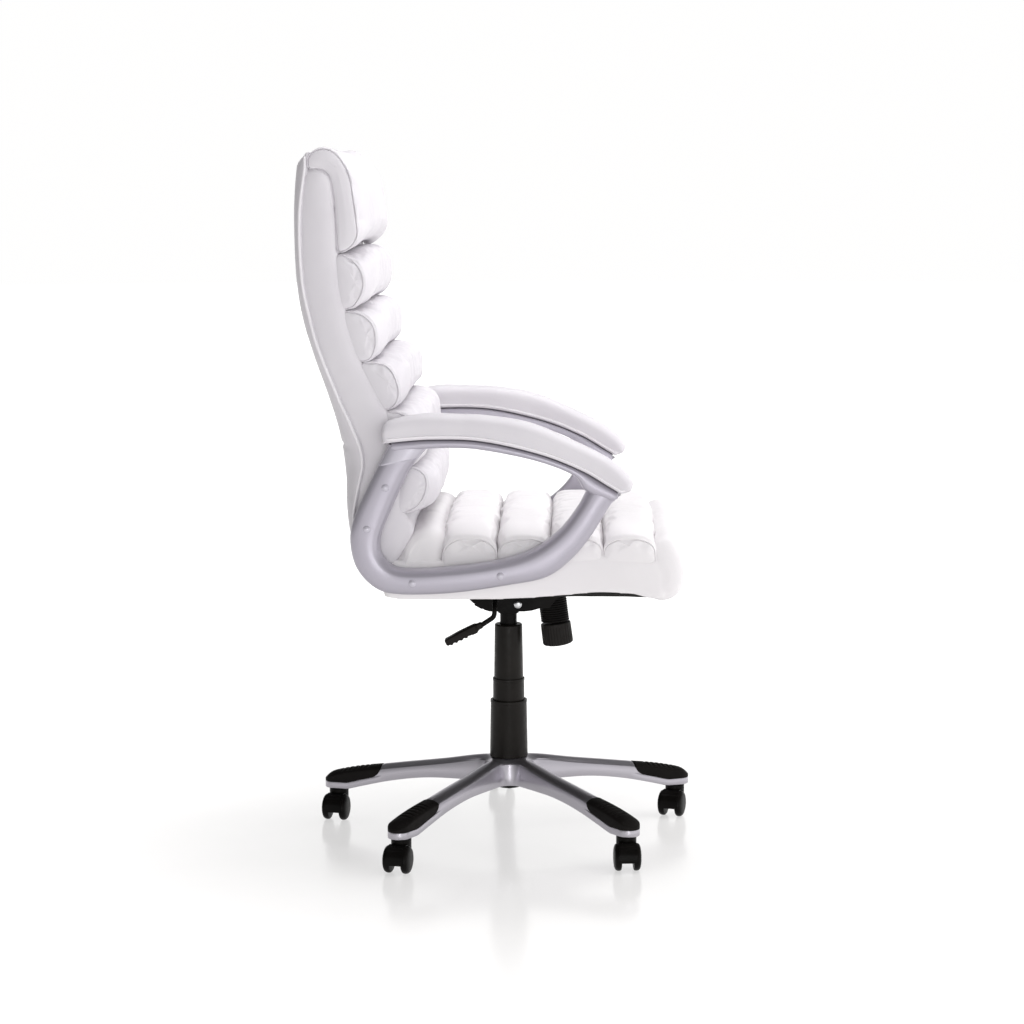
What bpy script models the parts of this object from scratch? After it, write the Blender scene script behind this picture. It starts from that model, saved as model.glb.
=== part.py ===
"""Swivel office chair, modelled as the pieces it is assembled from.

A five-leg base stands on hooded twin-wheel casters and carries a gas lift under a telescopic
cover. On the lift sit a tilt mechanism, a seat and a tall back made of padded rolls, and two
looped arms that tie the seat to the back.

Lengths are metres. +Z is up, the chair faces -Y and the occupant's right hand is at -X. Pieces
are modelled about the gas lift's axis, with heights from a datum a little below the floor, and
ROOT_SHIFT then moves the whole chair so that the origin lies on the floor under the middle of its
bounding box.
"""

import math

import bmesh
import bpy
from mathutils import Matrix, Vector

# ---------------------------------------------------------------- driving dimensions

FLOOR_HEIGHT = 0.0070  # of the floor above the datum
ROOT_SHIFT = (-0.0139, -0.0160, -FLOOR_HEIGHT)
GAP = 0.0003  # between pieces that touch

# Base
LEG_COUNT = 5
FIRST_LEG_DEG = 3.2
CASTER_RADIUS = 0.305
LEG_HALF_WIDTH = 0.0170
LEG_TIP_HALF_WIDTH = 0.0185
LEG_TIP_CENTRE = 0.3100
VALLEY_FILLET = 0.0210
HUB_BOTTOM = 0.0918
HUB_TOP = 0.1342
GRIP_START = 0.2250
GRIP_THICKNESS = 0.0026
BAND_HEIGHT = 0.0110
LEG_SHOULDER = 0.0045
LEG_TOP = ((0.0, 0.1345), (0.045, 0.1338), (0.113, 0.1225), (0.180, 0.1125), (0.219, 0.1065),
           (0.260, 0.1010), (0.292, 0.0950), (0.320, 0.0870), (0.332, 0.0810))
LEG_BOTTOM = ((0.0, 0.0915), (0.120, 0.0915), (0.160, 0.0885), (0.210, 0.0800), (0.255, 0.0690),
              (0.285, 0.0612), (0.295, 0.0610), (0.332, 0.0610))

# Casters
WHEEL_RADIUS = 0.0220
WHEEL_SIDES = 20
WHEEL_INNER_FACE = 0.0095
WHEEL_OUTER_FACE = 0.0222
AXLE_HEIGHT = FLOOR_HEIGHT + WHEEL_RADIUS
HOOD_RADIUS = 0.0238
HOOD_HALF_WIDTH = 0.0142
HOOD_WEB = 0.0090
HOOD_LOWER_EDGE = FLOOR_HEIGHT + 0.0170
CASTER_TRAIL = 0.0180
CASTER_TRAIL_DEG = (170.0, 168.0, 166.0, 184.0, 161.5)
NECK_RADIUS = 0.0165
NECK_TOP = 0.0603
STEM_RADIUS = 0.0055
AXLE_RADIUS = 0.0030

# Gas lift
TUBE_SIDES = 24
COVER_SIDES = 24
COLUMN_RADIUS = 0.0208
COLUMN_FOOT = (0.0202, 0.0820)
COLUMN_TOP = 0.2450
CYLINDER_RADIUS = 0.0140
CYLINDER_FOOT = 0.1980
CYLINDER_TOP = 0.3985
BUTTON_RADIUS = 0.0044

# Tilt mechanism
TILT_PIVOT = (-0.0170, 0.4010)
PIN_RADIUS = 0.0040
TRAY_HALF_WIDTH = 0.0480
FLANGE_INNER = 0.0505
FLANGE_OUTER = 0.0530
PLATE_BOTTOM = 0.4365
PLATE_TOP = 0.4395
SPRING_SEAT = (0.0, -0.0723, 0.4120)
SPRING_LEAN_DEG = -7.3
SPRING_RADIUS = 0.0205
SPRING_WIRE = 0.0022
SPRING_TURNS = 8
KNOB_RADIUS = 0.0250
KNOB_TOP = -0.0504
LEVER_AXIS = (0.0180, 0.4200)
LEVER_RADIUS = 0.0040
LEVER_X = -0.1760

# Seat, back and arms
SEAT_HALF_WIDTH = 0.2462
LINING = (0.4402, 0.4418)
BOARD = (0.4425, 0.4545)
SEAT_UNDERSIDE = 0.4422
ARM_INNER = 0.2475
ARM_OUTER = 0.2920
PAD_OUTER = 0.2995

# Side profiles as (y, z), or (z, y) where a curve is read by height
SEAT_PROFILE = ((0.186, SEAT_UNDERSIDE), (-0.222, SEAT_UNDERSIDE), (-0.242, 0.4380),
                (-0.264, 0.4470), (-0.275, 0.4680), (-0.281, 0.4920), (-0.277, 0.5160),
                (-0.262, 0.5410), (-0.235, 0.5560), (-0.190, 0.5600), (-0.100, 0.5580),
                (0.000, 0.5540), (0.090, 0.5570), (0.135, 0.5600), (0.160, 0.5380),
                (0.180, 0.5050), (0.186, 0.4750))
BACK_FRONT = ((0.197, 0.4660), (0.192, 0.5100), (0.172, 0.5450), (0.150, 0.5740),
              (0.126, 0.6000), (0.123, 0.6400), (0.133, 0.7000), (0.160, 0.7600),
              (0.197, 0.8500), (0.217, 0.9400), (0.227, 1.0300), (0.236, 1.0990),
              (0.248, 1.1280), (0.266, 1.1450), (0.287, 1.1470), (0.302, 1.1340))
BACK_REAR = ((0.466, 0.2360), (0.575, 0.2360), (0.647, 0.2210), (0.724, 0.2420), (0.814, 0.2800),
             (0.884, 0.3020), (0.971, 0.3160), (1.061, 0.3150), (1.114, 0.3080))
PANEL_REAR = ((0.470, 0.2480), (0.569, 0.2530), (0.630, 0.2560), (0.700, 0.2680),
              (0.762, 0.2860), (0.831, 0.3110), (0.898, 0.3290), (0.975, 0.3380),
              (1.067, 0.3390), (1.128, 0.3340))
BACK_HEIGHTS = tuple(0.466 + 0.0545 * step for step in range(13))
ARM_OUTER_LOOP = ((0.177, 0.6905), (0.204, 0.6380), (0.231, 0.5810), (0.240, 0.5410),
                  (0.230, 0.4960), (0.200, 0.4640), (0.160, 0.4545), (0.082, 0.4570),
                  (-0.003, 0.4690), (-0.066, 0.4820), (-0.107, 0.5120), (-0.138, 0.5500),
                  (-0.165, 0.5940), (-0.182, 0.6105))
ARM_INNER_LOOP = ((0.120, 0.6835), (0.146, 0.6490), (0.175, 0.5880), (0.193, 0.5410),
                  (0.187, 0.5110), (0.157, 0.4940), (0.081, 0.4970), (0.009, 0.5070),
                  (-0.045, 0.5250), (-0.087, 0.5560), (-0.115, 0.5920), (-0.128, 0.6170))
RAIL_TOP = ((-0.182, 0.6105), (-0.158, 0.6250), (-0.120, 0.6470), (-0.056, 0.6720),
            (0.033, 0.6920), (0.110, 0.6950), (0.177, 0.6905))
RAIL_BOTTOM = ((-0.128, 0.6170), (-0.107, 0.6430), (-0.046, 0.6660), (0.034, 0.6820),
               (0.080, 0.6850), (0.120, 0.6835))
PAD_CREST = ((0.184, 0.7150), (0.169, 0.7290), (0.125, 0.7380), (0.068, 0.7370),
             (0.026, 0.7350), (-0.040, 0.7240), (-0.106, 0.6970), (-0.158, 0.6710),
             (-0.184, 0.6520), (-0.200, 0.6330), (-0.198, 0.6200))

# ---------------------------------------------------------------- modelling helpers


def clear_scene():
    for obj in list(bpy.data.objects):
        bpy.data.objects.remove(obj, do_unlink=True)


def make_material(name, color, roughness, metallic=0.0):
    mat = bpy.data.materials.new(name)
    mat.use_nodes = True
    shader = mat.node_tree.nodes["Principled BSDF"]
    shader.inputs["Base Color"].default_value = (*color, 1.0)
    shader.inputs["Roughness"].default_value = roughness
    shader.inputs["Metallic"].default_value = metallic
    return mat


def add_empty(name, parent=None, location=(0.0, 0.0, 0.0), rotation=(0.0, 0.0, 0.0)):
    holder = bpy.data.objects.new(name, None)
    bpy.context.scene.collection.objects.link(holder)
    holder.parent = parent
    holder.location = location
    holder.rotation_euler = rotation
    return holder


def add_object(name, data, mat, parent, location=(0.0, 0.0, 0.0), rotation=(0.0, 0.0, 0.0)):
    obj = bpy.data.objects.new(name, data)
    bpy.context.scene.collection.objects.link(obj)
    if not data.materials:
        data.materials.append(mat)
    obj.parent = parent
    obj.location = location
    obj.rotation_euler = rotation
    return obj


def finished(bm, merge=0.0):
    """Mesh data from a bmesh, with its normals outward and its round faces shaded smooth."""
    if merge:
        bmesh.ops.remove_doubles(bm, verts=bm.verts, dist=merge)
    bmesh.ops.recalc_face_normals(bm, faces=bm.faces)
    mesh = bpy.data.meshes.new("body")
    bm.to_mesh(mesh)
    bm.free()
    mesh.shade_smooth()
    mesh.set_sharp_from_angle(angle=math.radians(35.0))
    return mesh


def turned(profile, sides, closed=False):
    """Body of revolution about Z. An open profile starts and ends on the axis."""
    bm = bmesh.new()
    verts = [bm.verts.new((radius, 0.0, height)) for radius, height in profile]
    edges = [bm.edges.new(pair) for pair in zip(verts, verts[1:])]
    if closed:
        edges.append(bm.edges.new((verts[-1], verts[0])))
    bmesh.ops.spin(bm, geom=verts + edges, cent=(0.0, 0.0, 0.0), axis=(0.0, 0.0, 1.0),
                   angle=math.tau, steps=sides, use_merge=True)
    return finished(bm, merge=1e-6)


def lofted(rings, cap_end=True):
    """Closed body through rings that have the same number of points."""
    bm = bmesh.new()
    rows = [[bm.verts.new(point) for point in ring] for ring in rings]
    count = len(rows[0])
    for near, far in zip(rows, rows[1:]):
        for i in range(count):
            j = (i + 1) % count
            bm.faces.new((near[i], near[j], far[j], far[i]))
    bm.faces.new(rows[0][::-1])
    if cap_end:
        bm.faces.new(rows[-1])
    return finished(bm, merge=1e-6)


def prism(outline, x_start, x_end):
    """Side outline of (y, z) points stretched along X."""
    return lofted([[(x, y, z) for y, z in outline] for x in (x_start, x_end)])


def box(low, high):
    outline = ((low[1], low[2]), (high[1], low[2]), (high[1], high[2]), (low[1], high[2]))
    return prism(outline, low[0], high[0])


def rod(radius, start, end, sides):
    """Cylinder between two points."""
    start = Vector(start)
    along = Vector(end) - start
    mesh = turned(((0.0, 0.0), (radius, 0.0), (radius, along.length), (0.0, along.length)), sides)
    turn = along.to_track_quat("Z", "Y").to_matrix().to_4x4()
    mesh.transform(Matrix.Translation(start) @ turn)
    return mesh


def combined(body, joins=(), cuts=()):
    """Mesh of the body with the joins united to it and the cuts taken away."""
    scratch = []
    for mesh in (body, *joins, *cuts):
        obj = bpy.data.objects.new("scratch", mesh)
        bpy.context.scene.collection.objects.link(obj)
        scratch.append(obj)
    base = scratch[0]
    operations = ["UNION"] * len(joins) + ["DIFFERENCE"] * len(cuts)
    for tool, operation in zip(scratch[1:], operations):
        boolean = base.modifiers.new(operation.lower(), "BOOLEAN")
        boolean.operation = operation
        boolean.solver = "EXACT"
        boolean.object = tool
    bpy.context.view_layer.update()
    depsgraph = bpy.context.evaluated_depsgraph_get()
    result = bpy.data.meshes.new_from_object(base.evaluated_get(depsgraph))
    for obj in scratch:
        bpy.data.objects.remove(obj, do_unlink=True)
    result.shade_smooth()
    result.set_sharp_from_angle(angle=math.radians(35.0))
    return result


def add_bevel(obj, width, segments=1, angle_deg=50.0):
    bevel = obj.modifiers.new("bevel", "BEVEL")
    bevel.width = width
    bevel.segments = segments
    bevel.limit_method = "ANGLE"
    bevel.angle_limit = math.radians(angle_deg)


def wire(name, points, radius, resolution, mat, parent, location=(0, 0, 0), rotation=(0, 0, 0)):
    """Round bar along a list of points."""
    curve = bpy.data.curves.new(name, "CURVE")
    curve.dimensions = "3D"
    curve.bevel_depth = radius
    curve.bevel_resolution = resolution
    curve.use_fill_caps = True
    spline = curve.splines.new("POLY")
    spline.points.add(len(points) - 1)
    for target, point in zip(spline.points, points):
        target.co = (*point, 1.0)
    return add_object(name, curve, mat, parent, location, rotation)


def curve_value(points, at):
    """Smooth value at a position, from (position, value) pairs in rising order."""
    if at <= points[0][0]:
        return points[0][1]
    if at >= points[-1][0]:
        return points[-1][1]
    slopes = []
    for i in range(len(points)):
        before = points[max(i - 1, 0)]
        after = points[min(i + 1, len(points) - 1)]
        slopes.append((after[1] - before[1]) / (after[0] - before[0]))
    index = max(i for i in range(len(points) - 1) if points[i][0] <= at)
    (p0, v0), (p1, v1) = points[index], points[index + 1]
    step = p1 - p0
    t = (at - p0) / step
    return ((2 * t**3 - 3 * t**2 + 1) * v0 + (t**3 - 2 * t**2 + t) * step * slopes[index]
            + (3 * t**2 - 2 * t**3) * v1 + (t**3 - t**2) * step * slopes[index + 1])


def smooth_path(points, count):
    """Evenly numbered points on a Catmull-Rom curve through the given ones."""
    path = []
    spans = len(points) - 1
    for k in range(count):
        place = k / (count - 1) * spans
        i = min(int(place), spans - 1)
        t = place - i
        p0, p1, p2, p3 = (Vector(points[min(max(j, 0), spans)]) for j in (i - 1, i, i + 1, i + 2))
        path.append(0.5 * (2 * p1 + (p2 - p0) * t + (2 * p0 - 5 * p1 + 4 * p2 - p3) * t**2
                           + (3 * p1 - p0 - 3 * p2 + p3) * t**3))
    return path


# ---------------------------------------------------------------- base


def leg_sections():
    """Stations along a leg as (centre distance, tip angle, is in the grip's zone)."""
    plain = [(r, 0.0, False) for r in (0.030, 0.065, 0.105, 0.150, 0.190, GRIP_START)]
    gripped = [(r, 0.0, True) for r in (GRIP_START + 0.0004, 0.255, 0.285, LEG_TIP_CENTRE)]
    tip = [(LEG_TIP_CENTRE, math.radians(a), True) for a in (30.0, 58.0, 76.0, 90.0)]
    return plain + gripped + tip


def leg_half_width(distance):
    share = max(0.0, min(1.0, (distance - 0.19) / (LEG_TIP_CENTRE - 0.19)))
    return LEG_HALF_WIDTH + share * (LEG_TIP_HALF_WIDTH - LEG_HALF_WIDTH)


def leg_point(centre, angle, half_width, height):
    """Point on a leg's side: straight along the leg, then round its tip."""
    return (centre + half_width * math.sin(angle), half_width * math.cos(angle), height)


def leg_levels(centre, angle):
    reach = centre + leg_half_width(centre) * math.sin(angle)
    return curve_value(LEG_BOTTOM, reach), curve_value(LEG_TOP, reach)


def leg_ring(centre, angle, gripped):
    """Section of the leg: a full-width band at the bottom and a core that the grip covers."""
    bottom, top = leg_levels(centre, angle)
    inset = GRIP_THICKNESS + GAP if gripped else 0.0
    drop = GRIP_THICKNESS + GAP if gripped else 0.0
    width = leg_half_width(centre)
    side = [
        (width, bottom),
        (width, bottom + BAND_HEIGHT),
        (width - inset, bottom + BAND_HEIGHT + 0.0004),
        (width - inset, top - drop - LEG_SHOULDER),
        (width - inset - LEG_SHOULDER, top - drop),
    ]
    right = [leg_point(centre, angle, w, z) for w, z in side]
    left = [(x, -y, z) for x, y, z in reversed(right)]
    return right + left


def grip_ring(centre, angle):
    """Section of the foot grip: an upturned channel over the leg's core."""
    bottom, top = leg_levels(centre, angle)
    width = leg_half_width(centre)
    inner = width - GRIP_THICKNESS
    foot = bottom + BAND_HEIGHT + 0.0010
    side = [
        (inner, foot),
        (width, foot),
        (width, top - LEG_SHOULDER),
        (width - LEG_SHOULDER, top),
    ]
    lining = [
        (inner - LEG_SHOULDER, top - GRIP_THICKNESS),
        (inner, top - GRIP_THICKNESS - LEG_SHOULDER),
    ]
    right = [leg_point(centre, angle, w, z) for w, z in side]
    left = [(x, -y, z) for x, y, z in reversed(right)]
    under = [leg_point(centre, angle, w, z) for w, z in lining]
    under_left = [(x, -y, z) for x, y, z in under]
    return right + left + under_left[::-1] + under


def leg_angle(index):
    return math.radians(FIRST_LEG_DEG + index * 360.0 / LEG_COUNT)


def hub_outline():
    """Star-shaped outline of the hub, with a round valley between neighbouring legs."""
    half_step = math.pi / LEG_COUNT
    width = LEG_HALF_WIDTH + 0.0002
    valley = (width + VALLEY_FILLET) / math.sin(half_step)
    points = []
    for index in range(LEG_COUNT):
        angle = leg_angle(index)
        along = Vector((math.cos(angle), math.sin(angle)))
        across = Vector((-along.y, along.x))
        points.append(along * 0.075 - across * width)
        points.append(along * 0.075 + across * width)
        middle = Vector((math.cos(angle + half_step), math.sin(angle + half_step))) * valley
        for step in range(5):
            turn = angle + half_step + math.pi + (0.5 - step / 4) * (math.pi - 2 * half_step)
            points.append(middle + VALLEY_FILLET * Vector((math.cos(turn), math.sin(turn))))
    return points


def build_base(mats, root):
    outline = hub_outline()
    hub = lofted([[(p.x, p.y, z) for p in outline] for z in (HUB_BOTTOM, HUB_TOP)])
    leg = lofted([leg_ring(*station) for station in leg_sections()], cap_end=False)
    socket = rod(STEM_RADIUS + 0.0005, (CASTER_RADIUS, 0.0, 0.050),
                 (CASTER_RADIUS, 0.0, 0.0832), 12)
    leg = combined(leg, cuts=[socket])
    legs = []
    for index in range(LEG_COUNT):
        placed = leg.copy()
        placed.transform(Matrix.Rotation(leg_angle(index), 4, "Z"))
        legs.append(placed)
    foot_radius, foot = COLUMN_FOOT
    slope = (COLUMN_RADIUS - foot_radius) / (HUB_TOP - foot)
    bore = turned(((0.0, 0.080), (foot_radius + 0.0005, 0.080),
                   (foot_radius + 0.0005 + slope * 0.060, 0.140), (0.0, 0.140)), TUBE_SIDES)
    star = combined(combined(hub, cuts=[bore]), joins=legs)
    add_object("base_star", star, mats["silver"], root)

    stations = [(r, 0.0) for r in (GRIP_START + 0.0008, 0.255, 0.285, LEG_TIP_CENTRE)]
    stations += [(LEG_TIP_CENTRE, math.radians(a)) for a in (30.0, 58.0, 76.0, 90.0)]
    grip = lofted([grip_ring(*station) for station in stations], cap_end=False)
    for index in range(LEG_COUNT):
        add_object(f"foot_grip_{index + 1}", grip, mats["grip"], root,
                   rotation=(0.0, 0.0, leg_angle(index)))


# ---------------------------------------------------------------- casters


def hood_mesh():
    """Hood about the stem's axis: an arch over both wheels, a web between them and a neck."""
    first, last, steps = -12.0, 192.0, 11
    outline = []
    for step in range(steps):
        angle = math.radians(first + (last - first) * step / (steps - 1))
        x = CASTER_TRAIL + HOOD_RADIUS * math.cos(angle)
        z = AXLE_HEIGHT + HOOD_RADIUS * math.sin(angle)
        outline.append((x, max(z, HOOD_LOWER_EDGE)))
    outline.append((0.0, HOOD_LOWER_EDGE))
    arch = lofted([[(x, y, z) for x, z in outline] for y in (-HOOD_HALF_WIDTH, HOOD_HALF_WIDTH)])
    neck = rod(NECK_RADIUS, (0.0, 0.0, 0.0340), (0.0, 0.0, NECK_TOP), 20)
    cuts = []
    for side in (-1.0, 1.0):
        cuts.append(rod(WHEEL_RADIUS + 0.0006, (CASTER_TRAIL, side * HOOD_WEB, AXLE_HEIGHT),
                        (CASTER_TRAIL, side * 0.030, AXLE_HEIGHT), 24))
    cuts.append(rod(AXLE_RADIUS + 0.0005, (CASTER_TRAIL, -0.03, AXLE_HEIGHT),
                    (CASTER_TRAIL, 0.03, AXLE_HEIGHT), 8))
    cuts.append(rod(STEM_RADIUS + 0.0005, (0.0, 0.0, 0.0420), (0.0, 0.0, 0.0700), 12))
    return combined(arch, joins=[neck], cuts=cuts)


def wheel_mesh():
    """Domed wheel about Z, with its inner face down and a blind bore for the axle."""
    scale = 1.0 / math.cos(math.pi / WHEEL_SIDES)
    tread = WHEEL_RADIUS * scale
    bore = AXLE_RADIUS + 0.0006
    profile = (
        (bore, WHEEL_INNER_FACE), (0.0200, WHEEL_INNER_FACE), (tread, WHEEL_INNER_FACE + 0.0015),
        (tread, 0.0168), (0.0204, 0.0198), (0.0165, 0.0212), (0.0, WHEEL_OUTER_FACE),
    )
    bore_end = ((0.0, 0.0192), (bore, 0.0192))
    bm = bmesh.new()
    bm.from_mesh(turned(profile + bore_end + (profile[0],), WHEEL_SIDES))
    return finished(bm, merge=1e-6)


def build_casters(mats, root):
    hood = hood_mesh()
    wheel = wheel_mesh()
    stem = rod(STEM_RADIUS, (0.0, 0.0, 0.0425), (0.0, 0.0, 0.0828), 12)
    axle = rod(AXLE_RADIUS, (0.0, 0.0, -0.0185), (0.0, 0.0, 0.0185), 8)
    facet = math.pi / WHEEL_SIDES
    for index in range(LEG_COUNT):
        angle = leg_angle(index)
        place = (CASTER_RADIUS * math.cos(angle), CASTER_RADIUS * math.sin(angle), 0.0)
        trail = math.radians(CASTER_TRAIL_DEG[index])
        name = index + 1
        add_object(f"caster_stem_{name}", stem, mats["steel"], root, location=place)
        swivel = add_empty(f"caster_swivel_{name}", root, place, (0.0, 0.0, trail))
        add_object(f"caster_hood_{name}", hood, mats["caster"], swivel)
        centre = (CASTER_TRAIL, 0.0, AXLE_HEIGHT)
        spin = add_empty(f"caster_spin_{name}", swivel, centre, (math.pi / 2, 0.0, 0.0))
        add_object(f"caster_axle_{name}", axle, mats["steel"], spin)
        add_object(f"caster_wheel_a_{name}", wheel, mats["caster"], spin,
                   rotation=(0.0, 0.0, math.pi / 2 + facet))
        add_object(f"caster_wheel_b_{name}", wheel, mats["caster"], spin,
                   rotation=(math.pi, 0.0, math.pi / 2 + facet))


# ---------------------------------------------------------------- gas lift


def build_gas_lift(mats, root):
    foot_radius, foot = COLUMN_FOOT
    wall = 0.0016
    column = ((foot_radius, foot), (COLUMN_RADIUS, HUB_TOP), (COLUMN_RADIUS, COLUMN_TOP),
              (COLUMN_RADIUS - wall, COLUMN_TOP), (foot_radius - wall, foot + 0.004),
              (0.0062, foot + 0.004), (0.0062, foot))
    add_object("outer_column", turned(column, TUBE_SIDES, closed=True), mats["black_metal"], root)

    bush = ((0.0184, 0.1650), (0.0184, COLUMN_TOP + GAP), (0.0204, COLUMN_TOP + GAP),
            (0.0204, 0.2478), (0.0145, 0.2478), (0.0145, 0.1650))
    add_object("column_bush", turned(bush, TUBE_SIDES, closed=True), mats["bush"], root)

    bearing_low, bearing_high = 0.0863, 0.0910
    bearing = ((0.0065, bearing_low), (0.0150, bearing_low), (0.0150, bearing_high),
               (0.0065, bearing_high))
    add_object("thrust_bearing", turned(bearing, TUBE_SIDES, closed=True), mats["steel"], root)

    piston = ((0.0, 0.0835), (0.0052, 0.0835), (0.0052, bearing_high + GAP),
              (0.0105, bearing_high + GAP), (0.0105, 0.0943), (0.0052, 0.0943),
              (0.0052, 0.2500), (0.0108, 0.2500), (0.0108, 0.2580), (0.0, 0.2580))
    add_object("piston_rod", turned(piston, 16), mats["steel"], root)

    chamber_top = CYLINDER_TOP - 0.0200
    cylinder = ((0.0057, CYLINDER_FOOT), (CYLINDER_RADIUS, CYLINDER_FOOT),
                (CYLINDER_RADIUS, 0.3780), (0.0130, CYLINDER_TOP), (0.0048, CYLINDER_TOP),
                (0.0048, chamber_top), (0.0116, chamber_top), (0.0116, 0.2060), (0.0057, 0.2060))
    add_object("gas_cylinder", turned(cylinder, TUBE_SIDES, closed=True), mats["black_metal"],
               root)

    button = ((0.0, 0.3810), (BUTTON_RADIUS, 0.3810), (BUTTON_RADIUS, 0.4030), (0.0, 0.4030))
    add_object("release_button", turned(button, 16), mats["steel"], root)


def build_cover(mats, root):
    """Three telescopic stages; each has a raised rim at its upper edge."""
    stages = {
        "cover_bottom": ((0.0318, 0.1352), (0.0303, 0.2285), (0.0308, 0.2285), (0.0308, 0.2310),
                         (0.0270, 0.2310), (0.0270, 0.2290), (0.0287, 0.2280), (0.0300, 0.1352)),
        "cover_middle": ((0.0266, 0.1750), (0.0262, 0.2655), (0.0267, 0.2655), (0.0267, 0.2680),
                         (0.0252, 0.2680), (0.0254, 0.1750)),
        "cover_top": ((0.0247, 0.2540), (0.0231, 0.3580), (0.0222, 0.3600), (0.0146, 0.3600),
                      (0.0146, 0.3585), (0.0215, 0.3575), (0.0233, 0.2540)),
    }
    for name, profile in stages.items():
        add_object(name, turned(profile, COVER_SIDES, closed=True), mats["cover"], root)


# ---------------------------------------------------------------- tilt mechanism


def along_x(radius, place, x_start, x_end, sides):
    """Cylinder along X through a (y, z) place."""
    return rod(radius, (x_start, *place), (x_end, *place), sides)


def build_tray(mats, root, spring_axis):
    """Fixed tray on the gas cylinder, with its socket, and holes for pin, lever and bolt."""
    outside = ((0.055, 0.3985), (0.044, 0.3925), (-0.0465, 0.3925), (-0.0475, 0.4090),
               (-0.104, 0.4162), (-0.104, 0.4275), (-0.020, 0.4275), (0.055, 0.4125))
    inside = ((0.052, 0.4015), (0.0435, 0.3955), (-0.0435, 0.3955), (-0.0445, 0.4120),
              (-0.101, 0.4192), (-0.101, 0.4400), (0.052, 0.4400))
    body = prism(outside, -TRAY_HALF_WIDTH, TRAY_HALF_WIDTH)
    socket = turned(((0.0, 0.3780), (0.0175, 0.3780), (0.0185, 0.3850), (0.0185, 0.3940),
                     (0.0, 0.3940)), TUBE_SIDES)
    hollow = prism(inside, 0.003 - TRAY_HALF_WIDTH, TRAY_HALF_WIDTH - 0.003)
    bore = turned(((0.0, 0.3760), (0.0146, 0.3760), (0.0136, 0.4010), (0.0, 0.4010)), TUBE_SIDES)
    bolt_hole = rod(0.0110, spring_axis @ Vector((0.0, 0.0, -0.012)),
                    spring_axis @ Vector((0.0, 0.0, 0.012)), 16)
    pin_hole = along_x(PIN_RADIUS + 0.0005, TILT_PIVOT, -0.06, 0.06, 12)
    lever_hole = along_x(LEVER_RADIUS + 0.0007, LEVER_AXIS, -0.06, -0.04, 12)
    tray = combined(body, joins=[socket], cuts=[hollow, bore, bolt_hole, pin_hole, lever_hole])
    add_object("mech_housing", tray, mats["black_metal"], root)


def build_seat_plate(mats, tilt):
    """Plate under the seat board with two flanges that hang on the tilt pin."""
    flange = ((0.075, 0.4375), (0.062, 0.4030), (0.046, 0.3990), (0.030, 0.3890),
              (-0.028, 0.3890), (-0.046, 0.3910), (-0.060, 0.4050), (-0.112, 0.4300),
              (-0.112, 0.4375))
    body = box((-0.080, -0.118, PLATE_BOTTOM), (0.080, 0.088, PLATE_TOP))
    flanges = [prism(flange, side * FLANGE_INNER, side * FLANGE_OUTER) for side in (-1.0, 1.0)]
    pin_hole = along_x(PIN_RADIUS + 0.0005, TILT_PIVOT, -0.06, 0.06, 12)
    lever_slot = box((-0.060, 0.0075, 0.4150), (-0.045, 0.0240, 0.4330))
    plate = combined(body, joins=flanges, cuts=[pin_hole, lever_slot])
    pivot = Vector((0.0, *TILT_PIVOT))
    for vert in plate.vertices:
        vert.co -= pivot
    add_object("seat_plate", plate, mats["black_metal"], tilt)

    head = FLANGE_OUTER + GAP
    pin = ((0.0, -head - 0.003), (0.0065, -head - 0.003), (0.0065, -head), (PIN_RADIUS, -head),
           (PIN_RADIUS, head), (0.0065, head), (0.0065, head + 0.003), (0.0, head + 0.003))
    add_object("tilt_pin", turned(pin, 12), mats["steel"], tilt, rotation=(0.0, math.pi / 2, 0.0))


def build_tension(mats, holder):
    """Spring, bolt and knob on the leaning axis under the front of the tray."""
    bolt = rod(0.0050, (0.0, 0.0, -0.0750), (0.0, 0.0, 0.0235), 12)
    add_object("tension_bolt", bolt, mats["black_metal"], holder)

    knob = ((0.0, -0.0892), (0.0130, -0.0882), (0.0235, -0.0860), (KNOB_RADIUS, -0.0835),
            (0.0243, KNOB_TOP), (0.0056, KNOB_TOP), (0.0056, -0.0780), (0.0, -0.0780))
    add_object("tension_knob", turned(knob, COVER_SIDES), mats["caster"], holder)

    top, bottom = -0.0026, -0.0478
    per_turn = 8
    count = SPRING_TURNS * per_turn
    coil = []
    for step in range(count + 1):
        angle = step / per_turn * math.tau
        coil.append((SPRING_RADIUS * math.cos(angle), SPRING_RADIUS * math.sin(angle),
                     top + (bottom - top) * step / count))
    wire("tension_spring", coil, SPRING_WIRE, 1, mats["black_metal"], holder)


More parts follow.
